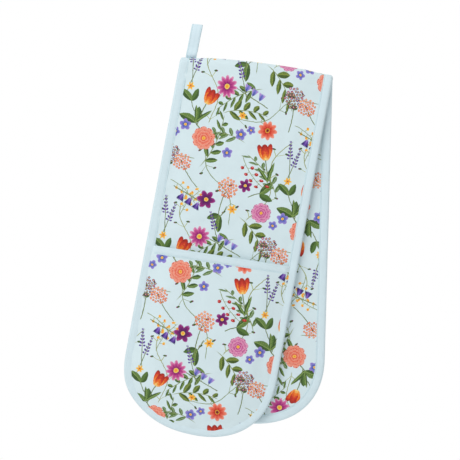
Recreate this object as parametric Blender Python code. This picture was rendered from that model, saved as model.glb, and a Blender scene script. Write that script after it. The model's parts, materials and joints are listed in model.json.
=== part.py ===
"""Double oven glove, hung by its loop.

One quilted strip is folded over at its middle, and a quilted pocket for a hand is laid on the outer
face of each end.  Tape binds the strip's edge and the pocket mouths, and a loop of tape stands on the
fold.  Lengths are in metres and +Z is up.  The origin is the inside top of the loop, where it hangs on
a hook.  The viewer of the front stands at -Y, so the front half lies at -Y and the rear half at +Y.

Each half has a frame of its own: X runs across the strip, -Z runs down it from the fold, and Y is its
depth.  A point of a half is given by where it is across, how far down, and how far out from the half's
outer face, which is negative inside the quilt.
"""
import math

import bmesh
import bpy
from mathutils import Euler, Matrix, Vector

# Strip
STRIP_WIDTH = 0.180
FRONT_DROP = 0.440
REAR_DROP = 0.4215
END_DEPTH = 0.083
END_SQUARENESS = 2.25
FOLD_SKEW = math.radians(4.2)
HANG_TILT = math.radians(6.3)

# Layers of the quilt
CLOTH = 0.0008
WADDING = 0.0050
EDGE_WADDING = 0.0023
LAYER_GAP = 0.0003
SWELL_WIDTH = 0.0265
HALVES_GAP = 0.0010

# Pockets
POCKET_DEPTH = 0.2152
POCKET_WADDING = 0.0035
POCKET_EDGE_WADDING = 0.0008
POCKET_SIDE_GAP = 0.0005
POCKET_BULGE = 0.012
POCKET_EASE = 0.0195
MOUTH_SLOPE = math.radians(1.7)

# Binding tapes
BINDING_WIDTH = 0.011
BINDING_TAPE = 0.0010
BINDING_ROUND = 0.0012
MOUTH_BINDING_WIDTH = 0.010

# Hanging loop
LOOP_WIDTH = 0.0125
LOOP_RISE = 0.0415
LOOP_GAP = 0.006
LOOP_TAPE = 0.0010
LOOP_SEWN = 0.009
LOOP_FLARE = 0.009
LOOP_INSET = 0.01225
LOOP_LEAN = math.radians(5.0)

# Facets
END_FACETS = 14
LOOP_FACETS = 10
FLARE_FACETS = 3
SIDE_ROW_SHARES = (0.0, 0.35, 0.7)
SWELL_SHARES = (0.0, 0.5, 1.0)
POCKET_ROW_SHARE = 0.5
WELD = 0.00001

# Sizes that follow
QUILT = 2 * CLOTH + 2 * LAYER_GAP + WADDING
QUILT_EDGE = 2 * CLOTH + 2 * LAYER_GAP + EDGE_WADDING
POCKET_QUILT = 2 * CLOTH + 2 * LAYER_GAP + POCKET_WADDING
POCKET_QUILT_EDGE = 2 * CLOTH + 2 * LAYER_GAP + POCKET_EDGE_WADDING
HALF_WIDTH = STRIP_WIDTH / 2
FOLD_REACH = QUILT + HALVES_GAP / 2
TAPE_INSET = BINDING_TAPE + LAYER_GAP
BAND = BINDING_WIDTH + POCKET_SIDE_GAP
MITRE_GAP = LAYER_GAP * math.sqrt(2)
LOOP_FOOT = LOOP_TAPE + LAYER_GAP / 2
LOOP_AXIS_HEIGHT = LOOP_FOOT + LAYER_GAP

# Colours and finishes
PRINT_GROUND = (0.68, 0.79, 0.84)
LINING_COLOUR = (0.66, 0.77, 0.82)
WADDING_COLOUR = (0.86, 0.84, 0.78)
BINDING_COLOUR = (0.63, 0.76, 0.80)
LOOP_COLOUR = (0.62, 0.78, 0.86)
CLOTH_ROUGHNESS = 0.85
WADDING_ROUGHNESS = 0.95


def clear_scene():
    for thing in list(bpy.data.objects):
        bpy.data.objects.remove(thing, do_unlink=True)


def make_finish(name, colour, roughness):
    finish = bpy.data.materials.new(name)
    finish.use_nodes = True
    shader = finish.node_tree.nodes["Principled BSDF"]
    shader.inputs["Base Color"].default_value = (*colour, 1.0)
    shader.inputs["Roughness"].default_value = roughness
    shader.inputs["Metallic"].default_value = 0.0
    return finish


def add_frame(name, collection, parent, place, turn=0.0):
    """An empty that carries pieces, on the axis that they turn about."""
    frame = bpy.data.objects.new(name, None)
    collection.objects.link(frame)
    frame.parent = parent
    frame.location = place
    frame.rotation_euler = (0.0, turn, 0.0)
    return frame


def add_piece(name, shape, collection, parent, colour, roughness=CLOTH_ROUGHNESS):
    """Name a closed shape, give it its own finish and hang it on its frame."""
    bmesh.ops.recalc_face_normals(shape, faces=shape.faces)
    mesh = bpy.data.meshes.new(name)
    shape.to_mesh(mesh)
    shape.free()
    mesh.shade_smooth()
    mesh.set_sharp_from_angle(angle=math.radians(35))
    mesh.materials.append(make_finish(name, colour, roughness))
    piece = bpy.data.objects.new(name, mesh)
    collection.objects.link(piece)
    piece.parent = parent
    return piece


def ease(value, start, end):
    """0 before start, 1 after end, and a smooth rise between them."""
    share = min(max((value - start) / (end - start), 0.0), 1.0)
    return share * share * (3 - 2 * share)


def loft(rings):
    """A solid through rings of equally many points, with flat ends."""
    shape = bmesh.new()
    levels = [[shape.verts.new(point) for point in ring] for ring in rings]
    for low, high in zip(levels, levels[1:]):
        for i, vert in enumerate(low):
            j = (i + 1) % len(low)
            shape.faces.new((vert, low[j], high[j], high[i]))
    shape.faces.new(levels[0])
    shape.faces.new(levels[-1])
    return shape


class Half:
    """The U-shaped edge of one half, and its depths, in the half's own frame."""

    def __init__(self, side, drop):
        self.side = side
        self.skew = -side * FOLD_SKEW
        self.end_centre = drop - END_DEPTH
        self.mouth = drop - POCKET_DEPTH
        self.tip = drop

    def fold_line(self, across, out):
        """How far down the quilt starts, mitred against the fold."""
        return -across * math.tan(self.skew) + (MITRE_GAP - out) / math.cos(self.skew)

    def mouth_line(self, across):
        return self.mouth + self.side * across * math.tan(MOUTH_SLOPE)

    def edge_point(self, station, inset, top):
        """Across and down of a point of the U-shaped edge, moved in from the strip's edge."""
        kind, amount = station
        reach = HALF_WIDTH - inset
        if kind == "end":
            power = 2 / END_SQUARENESS
            angle = math.pi * (1 - amount)
            lean = math.copysign(abs(math.cos(angle)) ** power, math.cos(angle))
            depth = max(END_DEPTH - inset, 0.0) * max(math.sin(angle), 0.0) ** power
            return reach * lean, self.end_centre + depth
        across = reach if kind == "right" else -reach
        return across, top(across) + amount

    def place(self, across, out, down):
        return Vector((across, self.side * out, -down))


def stations(side_rows):
    """Places along the U: down the left side, round the end and up the right side."""
    left = [("left", row) for row in side_rows]
    end = [("end", i / END_FACETS) for i in range(END_FACETS + 1)]
    right = [("right", row) for row in reversed(side_rows)]
    return left + end + right


def inner_rings():
    """Insets of the rings inside the binding, out to the strip's middle line."""
    swell = [BAND + share * SWELL_WIDTH for share in SWELL_SHARES]
    return swell + [(swell[-1] + HALF_WIDTH) / 2, HALF_WIDTH]


def quilt_half_thickness(inset):
    """Half the quilt's thickness: flat under the binding, then swelling to its full depth."""
    swell = ease(inset, BAND, BAND + SWELL_WIDTH)
    return (QUILT_EDGE + (QUILT - QUILT_EDGE) * swell) / 2


def face_depth(inset):
    """How far the quilt's outer face lies behind the half's outer plane."""
    return QUILT / 2 - quilt_half_thickness(inset)


def panel(places, rings, front_point, back_point):
    """A closed quilt layer: a grid of places and rings, doubled, and walled round its edge."""
    shape = bmesh.new()
    place_of = shape.verts.layers.int.new("place")
    ring_of = shape.verts.layers.int.new("ring")
    last_place = len(places) - 1
    last_ring = len(rings) - 1
    bmesh.ops.create_grid(shape, x_segments=last_place, y_segments=last_ring, size=1)
    for vert in shape.verts:
        vert[place_of] = round((vert.co.x + 1) / 2 * last_place)
        vert[ring_of] = round((vert.co.y + 1) / 2 * last_ring)
    for vert in shape.verts:
        vert.co = front_point(places[vert[place_of]], rings[vert[ring_of]])
    bmesh.ops.remove_doubles(shape, verts=shape.verts, dist=WELD)
    front_verts = shape.verts[:]
    rim = [edge for edge in shape.edges if edge.is_boundary]
    copy = bmesh.ops.duplicate(shape, geom=front_verts + shape.edges[:] + shape.faces[:])
    twin = copy["vert_map"]
    for vert in front_verts:
        twin[vert].co = back_point(places[vert[place_of]], rings[vert[ring_of]])
    for edge in rim:
        a, b = edge.verts
        shape.faces.new((a, b, twin[b], twin[a]))
    return shape


def layer_depths(front, back):
    """The three layers between two faces: outer cloth, wadding and lining, each front to back."""
    step = CLOTH + LAYER_GAP
    return {
        "outer_cloth": (front, front - CLOTH),
        "wadding": (front - step, back + step),
        "lining_cloth": (back + CLOTH, back),
    }


def strip_faces(inset):
    """Out of the strip's two faces at an inset."""
    middle = -QUILT / 2
    half = quilt_half_thickness(inset)
    return middle + half, middle - half


def pocket_faces(inset, below_mouth, pocket_length):
    """Out of a pocket's two faces: flat at its sewn edge, and bowed out towards its mouth."""
    ring = (HALF_WIDTH - inset) / (HALF_WIDTH - BAND)
    fall = below_mouth / pocket_length
    bulge = POCKET_BULGE * (1 - ring * ring) * (1 - fall * fall)
    under_tape = 1 - ease(below_mouth, MOUTH_BINDING_WIDTH + LAYER_GAP, MOUTH_BINDING_WIDTH + POCKET_EASE)
    back = LAYER_GAP - face_depth(inset) + under_tape * TAPE_INSET + bulge
    swell = ease(inset, BAND, BAND + SWELL_WIDTH) * (1 - under_tape)
    thickness = POCKET_QUILT_EDGE + (POCKET_QUILT - POCKET_QUILT_EDGE) * swell
    return back + thickness, back


def strip_layer(half, layer):
    """One layer of a half of the strip."""
    straight = half.end_centre
    places = stations([share * straight for share in SIDE_ROW_SHARES])
    rings = [TAPE_INSET] + inner_rings()

    def point(station, inset, face):
        out = layer_depths(*strip_faces(inset))[layer][face]
        across, down = half.edge_point(station, inset, lambda across: half.fold_line(across, out))
        return half.place(across, out, down)

    return panel(places, rings, lambda s, r: point(s, r, 0), lambda s, r: point(s, r, 1))


def pocket_layer(half, layer):
    """One layer of a pocket, in the half's frame."""
    straight = half.end_centre - half.mouth
    taped = MOUTH_BINDING_WIDTH + LAYER_GAP
    eased = MOUTH_BINDING_WIDTH + POCKET_EASE
    places = stations([TAPE_INSET, taped, eased, eased + POCKET_ROW_SHARE * (straight - eased)])
    rings = inner_rings()
    length = half.tip - BAND - half.mouth

    def point(station, inset, face):
        across, down = half.edge_point(station, inset, half.mouth_line)
        below = down - half.mouth_line(across)
        out = layer_depths(*pocket_faces(inset, below, length))[layer][face]
        return half.place(across, out, down)

    return panel(places, rings, lambda s, r: point(s, r, 0), lambda s, r: point(s, r, 1))


def binding_section():
    """The folded tape's section, as pairs of inset from the strip's edge and out."""
    middle = -QUILT / 2
    inner = QUILT_EDGE / 2 + LAYER_GAP
    outer = inner + BINDING_TAPE
    front = [
        (0.0, outer - BINDING_ROUND),
        (BINDING_ROUND, outer),
        (BINDING_WIDTH, outer),
        (BINDING_WIDTH, inner),
        (BINDING_TAPE, inner),
    ]
    back = [(inset, -height) for inset, height in reversed(front)]
    return [(inset, middle + height) for inset, height in front + back]


def edge_binding(half):
    """The tape round a half's edge, from the fold down one side, round the end and up."""
    straight = half.end_centre
    rings = []
    for station in stations([share * straight for share in SIDE_ROW_SHARES]):
        ring = []
        for inset, out in binding_section():
            across, down = half.edge_point(station, inset, lambda across: half.fold_line(across, out))
            ring.append(half.place(across, out, down))
        rings.append(ring)
    return loft(rings)


def mouth_binding(half):
    """The tape folded over a pocket's mouth, following its bow."""
    length = half.tip - BAND - half.mouth
    insets = inner_rings()
    sides = [(-1, inset) for inset in insets] + [(1, inset) for inset in reversed(insets[:-1])]
    rings = []
    for sign, inset in sides:
        across = sign * (HALF_WIDTH - inset)
        ring = []
        for leg in (1, -1):
            rows = [
                (0.0, TAPE_INSET),
                (MOUTH_BINDING_WIDTH, TAPE_INSET),
                (MOUTH_BINDING_WIDTH, LAYER_GAP),
                (BINDING_TAPE, LAYER_GAP),
            ]
            for below, stand in rows if leg > 0 else reversed(rows):
                front, back = pocket_faces(inset, below, length)
                out = front + stand if leg > 0 else back - stand
                ring.append(half.place(across, out, half.mouth_line(across) + below))
        rings.append(ring)
    return loft(rings)


def fold_across(inset):
    """Where an inset of the strip lies along the fold, which crosses it askew."""
    return (HALF_WIDTH - inset) / math.cos(FOLD_SKEW)


def fold_layer(layer):
    """One layer of the turn between the halves, mitred at both ends."""
    insets = [TAPE_INSET] + inner_rings()
    sides = [(-1, inset) for inset in insets] + [(1, inset) for inset in reversed(insets[:-1])]
    rings = []
    for sign, inset in sides:
        high, low = layer_depths(*strip_faces(inset))[layer]
        ring = []
        for height, end in ((high, -1), (high, 1), (low, 1), (low, -1)):
            ring.append(Vector((sign * fold_across(inset), end * (FOLD_REACH + height), height)))
        rings.append(ring)
    return loft(rings)


def fold_binding(sign):
    """The edge tape where it crosses the fold, on one side of the strip."""
    rings = []
    for end in (-1, 1):
        ring = []
        for inset, height in binding_section():
            ring.append(Vector((sign * fold_across(inset), end * (FOLD_REACH + height), height)))
        rings.append(ring)
    return loft(rings)


def loop_outline():
    """The loop from its side: two legs sewn together at the foot, and open above."""
    bow_centre = LOOP_RISE - LOOP_AXIS_HEIGHT - LOOP_GAP / 2
    rows = [(0.0, 0.0)]
    for i in range(FLARE_FACETS + 1):
        share = i / FLARE_FACETS
        rows.append((LOOP_SEWN + share * LOOP_FLARE, ease(share, 0.0, 1.0)))
    rows.append((bow_centre, 1.0))
    half_slit = LAYER_GAP / 2
    spread = LOOP_GAP / 2 - half_slit
    outer = [(LOOP_FOOT + flare * spread, height) for height, flare in rows]
    inner = [(half_slit + flare * spread, height) for height, flare in rows]
    arc = [math.pi / 2 * i / LOOP_FACETS * 2 for i in range(1, LOOP_FACETS)]
    bow = LOOP_GAP / 2 + LOOP_TAPE
    over = [(bow * math.cos(angle), bow_centre + bow * math.sin(angle)) for angle in arc]
    under = [(LOOP_GAP / 2 * math.cos(angle), bow_centre + LOOP_GAP / 2 * math.sin(angle)) for angle in arc]
    toe = -math.sqrt(LOOP_FOOT * LOOP_FOOT - half_slit * half_slit)
    heel = (LOOP_FOOT * math.cos(math.pi / 4), -LOOP_FOOT * math.sin(math.pi / 4))
    mirrored = lambda points: [(-y, z) for y, z in reversed(points)]
    outside = [heel] + outer + over + mirrored([heel] + outer)
    inside = [(half_slit, toe)] + inner + under + mirrored([(half_slit, toe)] + inner)
    return outside + list(reversed(inside))


def loop_shape():
    """The loop's outline drawn out to the tape's width, leaning along the fold."""
    rings = []
    for sign in (-1, 1):
        ring = []
        for y, z in loop_outline():
            ring.append(Vector((sign * LOOP_WIDTH / 2 + z * math.tan(LOOP_LEAN), y, z)))
        rings.append(ring)
    return loft(rings)


def build_loop(collection, hung):
    place = Vector((LOOP_INSET - fold_across(0.0), 0.0, LOOP_AXIS_HEIGHT))
    foot = add_frame("loop_swing_axis", collection, hung, place)
    add_piece("loop_tape", loop_shape(), collection, foot, LOOP_COLOUR)


def build_fold(collection, hung):
    colours = {"outer_cloth": PRINT_GROUND, "wadding": WADDING_COLOUR, "lining_cloth": LINING_COLOUR}
    for layer, colour in colours.items():
        add_piece("fold_" + layer, fold_layer(layer), collection, hung, colour)
    add_piece("fold_binding_left", fold_binding(-1), collection, hung, BINDING_COLOUR)
    add_piece("fold_binding_right", fold_binding(1), collection, hung, BINDING_COLOUR)


def build_half(collection, hung, name, side, drop):
    """A half of the strip with its pocket, each on its own axis."""
    half = Half(side, drop)
    colours = {"outer_cloth": PRINT_GROUND, "wadding": WADDING_COLOUR, "lining_cloth": LINING_COLOUR}
    place = Vector((0.0, side * FOLD_REACH, 0.0))
    axis = add_frame(name + "_fold_axis", collection, hung, place, half.skew)
    for layer, colour in colours.items():
        add_piece(name + "_" + layer, strip_layer(half, layer), collection, axis, colour)
    add_piece(name + "_binding", edge_binding(half), collection, axis, BINDING_COLOUR)

    hem = half.place(0.0, LAYER_GAP - face_depth(BAND), half.tip - BAND)
    pocket_axis = add_frame(name + "_pocket_axis", collection, axis, hem)
    pocket_pieces = [(layer, pocket_layer(half, layer), colour) for layer, colour in colours.items()]
    pocket_pieces.append(("mouth_binding", mouth_binding(half), BINDING_COLOUR))
    for layer, shape, colour in pocket_pieces:
        bmesh.ops.translate(shape, verts=shape.verts, vec=-hem)
        add_piece(name + "_pocket_" + layer, shape, collection, pocket_axis, colour)


def main():
    clear_scene()
    collection = bpy.data.collections.new("double_oven_glove")
    bpy.context.scene.collection.children.link(collection)
    loop_top = Vector((LOOP_INSET - fold_across(0.0), 0.0, LOOP_RISE))
    loop_top.x += (LOOP_RISE - LOOP_AXIS_HEIGHT) * math.tan(LOOP_LEAN)
    tilt = Euler((0.0, HANG_TILT, 0.0)).to_matrix()
    hung = add_frame("hung_glove", collection, None, -(tilt @ loop_top), HANG_TILT)
    build_loop(collection, hung)
    build_fold(collection, hung)
    build_half(collection, hung, "front", -1, FRONT_DROP)
    build_half(collection, hung, "rear", 1, REAR_DROP)


main()
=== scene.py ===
"""Double oven glove: its cloths, wadding, tapes and thread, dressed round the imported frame.

Lengths are in metres.  The glove hangs by its loop and its front faces -Y.  Each half is worked out flat,
as it was cut, and is then hung: a place on it is given by how far across the strip it is, how far along
from the fold, and how far out from the half's outer plane.  The cloth's UV map is that flat place, in
metres and moved aside on the lining and the pockets, so the print and the weave follow the cloth.
"""
import json
import math
from functools import partialmethod

import bmesh
import bpy
import numpy as np
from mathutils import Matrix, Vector

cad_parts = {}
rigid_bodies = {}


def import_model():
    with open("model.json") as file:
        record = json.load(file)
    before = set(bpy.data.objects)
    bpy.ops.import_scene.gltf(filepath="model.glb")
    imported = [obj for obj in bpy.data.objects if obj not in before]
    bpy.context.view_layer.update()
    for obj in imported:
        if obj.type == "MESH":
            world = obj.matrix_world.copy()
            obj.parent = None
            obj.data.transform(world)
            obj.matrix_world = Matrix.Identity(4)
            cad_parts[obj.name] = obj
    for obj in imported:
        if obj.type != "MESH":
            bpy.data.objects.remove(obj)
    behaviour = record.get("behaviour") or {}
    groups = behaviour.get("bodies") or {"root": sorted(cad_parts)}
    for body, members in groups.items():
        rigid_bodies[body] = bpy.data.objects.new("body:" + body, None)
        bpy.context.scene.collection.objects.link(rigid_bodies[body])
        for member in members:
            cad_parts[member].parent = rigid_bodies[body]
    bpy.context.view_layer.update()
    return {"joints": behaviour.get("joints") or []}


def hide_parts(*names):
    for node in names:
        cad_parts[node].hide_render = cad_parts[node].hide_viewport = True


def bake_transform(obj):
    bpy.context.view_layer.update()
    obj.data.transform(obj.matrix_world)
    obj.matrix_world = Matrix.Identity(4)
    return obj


for thing in list(bpy.data.objects):
    bpy.data.objects.remove(thing, do_unlink=True)

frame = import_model()
JOINTS = {joint["name"]: joint for joint in frame["joints"]}

bl_info = {
    "name": "Double Oven Glove",
    "version": (1, 0, 0),
    "blender": (4, 5, 0),
    "location": "3D View > Sidebar > Glove",
    "description": "Quilted double oven glove with bound edges, hand pockets and a hanging loop",
    "category": "Add Mesh",
}


def metres(label, purpose, default):
    """A length that a user may change."""
    return bpy.props.FloatProperty(name=label, description=purpose, default=default, unit="LENGTH")


def degrees(label, purpose, default):
    """An angle that a user may change."""
    return bpy.props.FloatProperty(
        name=label, description=purpose, default=math.radians(default), subtype="ANGLE")


def figure(label, purpose, default):
    """A plain number that a user may change."""
    return bpy.props.FloatProperty(name=label, description=purpose, default=default)


def tint(label, purpose, *channels):
    """A colour that a user may change."""
    return bpy.props.FloatVectorProperty(
        name=label, description=purpose, default=channels, subtype="COLOR", size=3, min=0, max=1)


class GloveSizes(bpy.types.PropertyGroup):
    strip_width: metres("Strip Width", "Width of the bound strip", 0.180)
    end_depth: metres("End Depth", "Depth of the rounded end", 0.083)
    end_squareness: figure("End Squareness", "Exponent of the end's curve; 2 is an ellipse", 2.25)
    quilt: metres("Quilt", "Thickness of the strip's middle", 0.0072)
    quilt_edge: metres("Quilt Edge", "Thickness of the strip inside its tape", 0.0045)
    swell_width: metres("Swell Width", "How far the quilt takes to fill out inside the tape", 0.0265)
    cloth: metres("Cloth", "Thickness of a cloth", 0.0007)
    seam_inset: metres("Seam Inset", "How far inside the tape's edge the cloths stop", 0.0020)
    binding_width: metres("Binding Width", "Width of a leg of the edge tape", 0.011)
    mouth_binding_width: metres("Mouth Binding Width", "Width of a leg of the mouth tape", 0.010)
    tape: metres("Tape", "Thickness of a folded tape", 0.0010)
    pocket_depth: metres("Pocket Depth", "From the mouth to the strip's tip", 0.2152)
    pocket_quilt: metres("Pocket Quilt", "Thickness of the pocket's middle", 0.0057)
    pocket_quilt_edge: metres("Pocket Quilt Edge", "Thickness of the pocket beside its seam", 0.0030)
    pocket_seam: metres("Pocket Seam", "Thickness of the pocket inside the edge tape", 0.0015)
    pocket_bulge: metres("Pocket Bulge", "How far the mouth bows out", 0.0035)
    mouth_slope: degrees("Mouth Slope", "Angle of the mouth to square across", 1.7)
    fold_bend: metres("Fold Bend", "Distance over which a half bends beside the fold", 0.0055)
    crest_bow: metres("Crest Bow", "How far the fold's middle bows up", 0.0040)
    crest_lean: metres("Crest Lean", "How far the fold's left end stands up", 0.0018)
    crest_reach: metres("Crest Reach", "How far down from the fold the bow is felt", 0.065)
    end_lift: metres("End Lift", "How far the hanging end draws up", 0.0030)
    end_skew: degrees("End Skew", "How much further its left side draws up", 2.35)
    end_drawn: metres("End Drawn", "Length of the end that draws up", 0.060)
    rear_drift: degrees("Rear Drift", "How much further right the rear half hangs", 0.5)
    loop_width: metres("Loop Width", "Width of the loop's tape", 0.0125)
    loop_tape: metres("Loop Tape", "Thickness of the loop's tape", 0.0010)
    loop_gap: metres("Loop Gap", "Inside gap between the loop's legs", 0.0060)
    loop_sewn: metres("Loop Sewn", "Height to which the loop's legs lie together", 0.0055)
    loop_flare: metres("Loop Flare", "Height over which the loop's legs part", 0.024)
    loop_rise: metres("Loop Rise", "Height of the loop over its swing's axis", 0.0383)
    loop_lean: degrees("Loop Lean", "Lean of the loop along the fold", 5.0)
    cloth_ease: figure("Cloth Ease", "How much larger than its wadding a cloth is cut, as a share", 0.007)
    rumple: metres("Rumple", "How far a cloth rises or sinks where it is loose", 0.0007)
    stitch_length: metres("Stitch Length", "Length of a stitch", 0.0026)
    stitch_gap: metres("Stitch Gap", "Gap between stitches", 0.0006)
    thread: metres("Thread", "Thickness of the sewing thread", 0.00045)
    mesh_step: metres("Mesh Step", "Size of a face of the cloth", 0.0030)


class GloveColours(bpy.types.PropertyGroup):
    ground: tint("Ground", "Ground of the printed cloth", 0.652, 0.778, 0.812)
    plain: tint("Plain", "Plain cloth inside the pockets", 0.650, 0.770, 0.820)
    binding: tint("Binding", "Folded tape of the edges and mouths", 0.638, 0.772, 0.822)
    loop: tint("Loop", "Tape of the hanging loop", 0.665, 0.806, 0.870)
    thread: tint("Thread", "Sewing thread", 0.54, 0.68, 0.73)
    wadding: tint("Wadding", "Wadding inside the quilt", 0.86, 0.84, 0.78)


class PrintInks(bpy.types.PropertyGroup):
    salmon: tint("Salmon", "Tips of the coral petals", 0.84, 0.37, 0.27)
    coral: tint("Coral", "Coral petals", 0.78, 0.15, 0.09)
    vermilion: tint("Vermilion", "Red petals and berries", 0.60, 0.040, 0.020)
    rust: tint("Rust", "Shade of the red petals", 0.21, 0.010, 0.008)
    orange: tint("Orange", "Orange petals", 0.84, 0.20, 0.02)
    yolk: tint("Yolk", "Deep yellow eyes", 0.86, 0.48, 0.05)
    butter: tint("Butter", "Pale yellow", 0.88, 0.70, 0.22)
    blush: tint("Blush", "Tips of the pink petals", 0.76, 0.36, 0.52)
    pink: tint("Pink", "Pink petals", 0.54, 0.075, 0.27)
    magenta: tint("Magenta", "Deep pink petals", 0.30, 0.015, 0.16)
    wine: tint("Wine", "Shade of the pink petals", 0.09, 0.005, 0.04)
    plum: tint("Plum", "Purple blossoms", 0.11, 0.012, 0.13)
    lilac: tint("Lilac", "Pale violet", 0.40, 0.26, 0.62)
    violet: tint("Violet", "Violet bells", 0.13, 0.055, 0.36)
    indigo: tint("Indigo", "Shade of the violet bells", 0.03, 0.012, 0.13)
    sky: tint("Sky", "Small blue flowers", 0.14, 0.17, 0.55)
    stem: tint("Stem", "Stems", 0.25, 0.31, 0.13)
    leaf: tint("Leaf", "Leaves", 0.085, 0.165, 0.035)
    leaf_light: tint("Light Leaf", "Lit side of the leaves", 0.28, 0.39, 0.11)
    leaf_dark: tint("Dark Leaf", "Shaded side of the leaves", 0.010, 0.035, 0.010)
    leaf_yellow: tint("Yellow Leaf", "Lit side of the olive leaves", 0.37, 0.39, 0.06)
    olive: tint("Olive", "Shaded side of the olive leaves", 0.035, 0.045, 0.006)
    leaf_pale: tint("Pale Leaf", "Pale leaves", 0.42, 0.53, 0.34)


WAVES = 6  # in a ripple


def ease(value, start, end):
    """0 before start, 1 after end, and a smooth rise between them."""
    share = np.clip((np.asarray(value, float) - start) / (end - start), 0.0, 1.0)
    return share * share * (3 - 2 * share)


def ripple(length, seed, along, across=0.0):
    """Soft irregular waves, mostly from -1 to 1 and about a length apart, the same each run."""
    random = np.random.default_rng(seed)
    total = 0.0
    for turn in random.uniform(0, math.pi, WAVES):
        pitch = length * random.uniform(0.7, 1.6)
        phase = random.uniform(0, math.tau)
        total = total + np.sin((along * math.cos(turn) + across * math.sin(turn)) * math.tau / pitch + phase)
    return total / WAVES ** 0.5 / 1.5


PANEL_GAP = 0.0005  # from inside the edge tape to where the frame's pocket panel starts
END_FIRM = 0.010  # the last of an end, which draws up as one
TAPE_HOLD = 0.6  # how far under the edge tape, as a share of its width, it presses a pocket flat
FREE_REACH = 0.002  # how far inside the edge tape a pocket takes to come free of it
MOUTH_RISE = 0.0095  # how far below its mouth tape a pocket takes to fill out
SEAM_GAP = 0.0002  # between a half and its pocket in their seam
LOOSE_GAP = 0.0001  # what is added to it where the pocket is free
MOUTH_GAP = 0.0003  # between a half and the back of the mouth tape
TAPE_CLIMB = (-0.006, 0.003)  # from the mouth line, where the edge tape climbs on the pocket
SWING = JOINTS["loop_swing"]
SWING_PLACE = np.array(SWING["pos_m"])
ALONG_FOLD = np.array(SWING["axis"])
UP = np.array((-ALONG_FOLD[2], 0.0, ALONG_FOLD[0]))  # square to the fold, which drops to the right
BACK = np.array((0.0, 1.0, 0.0))


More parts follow.
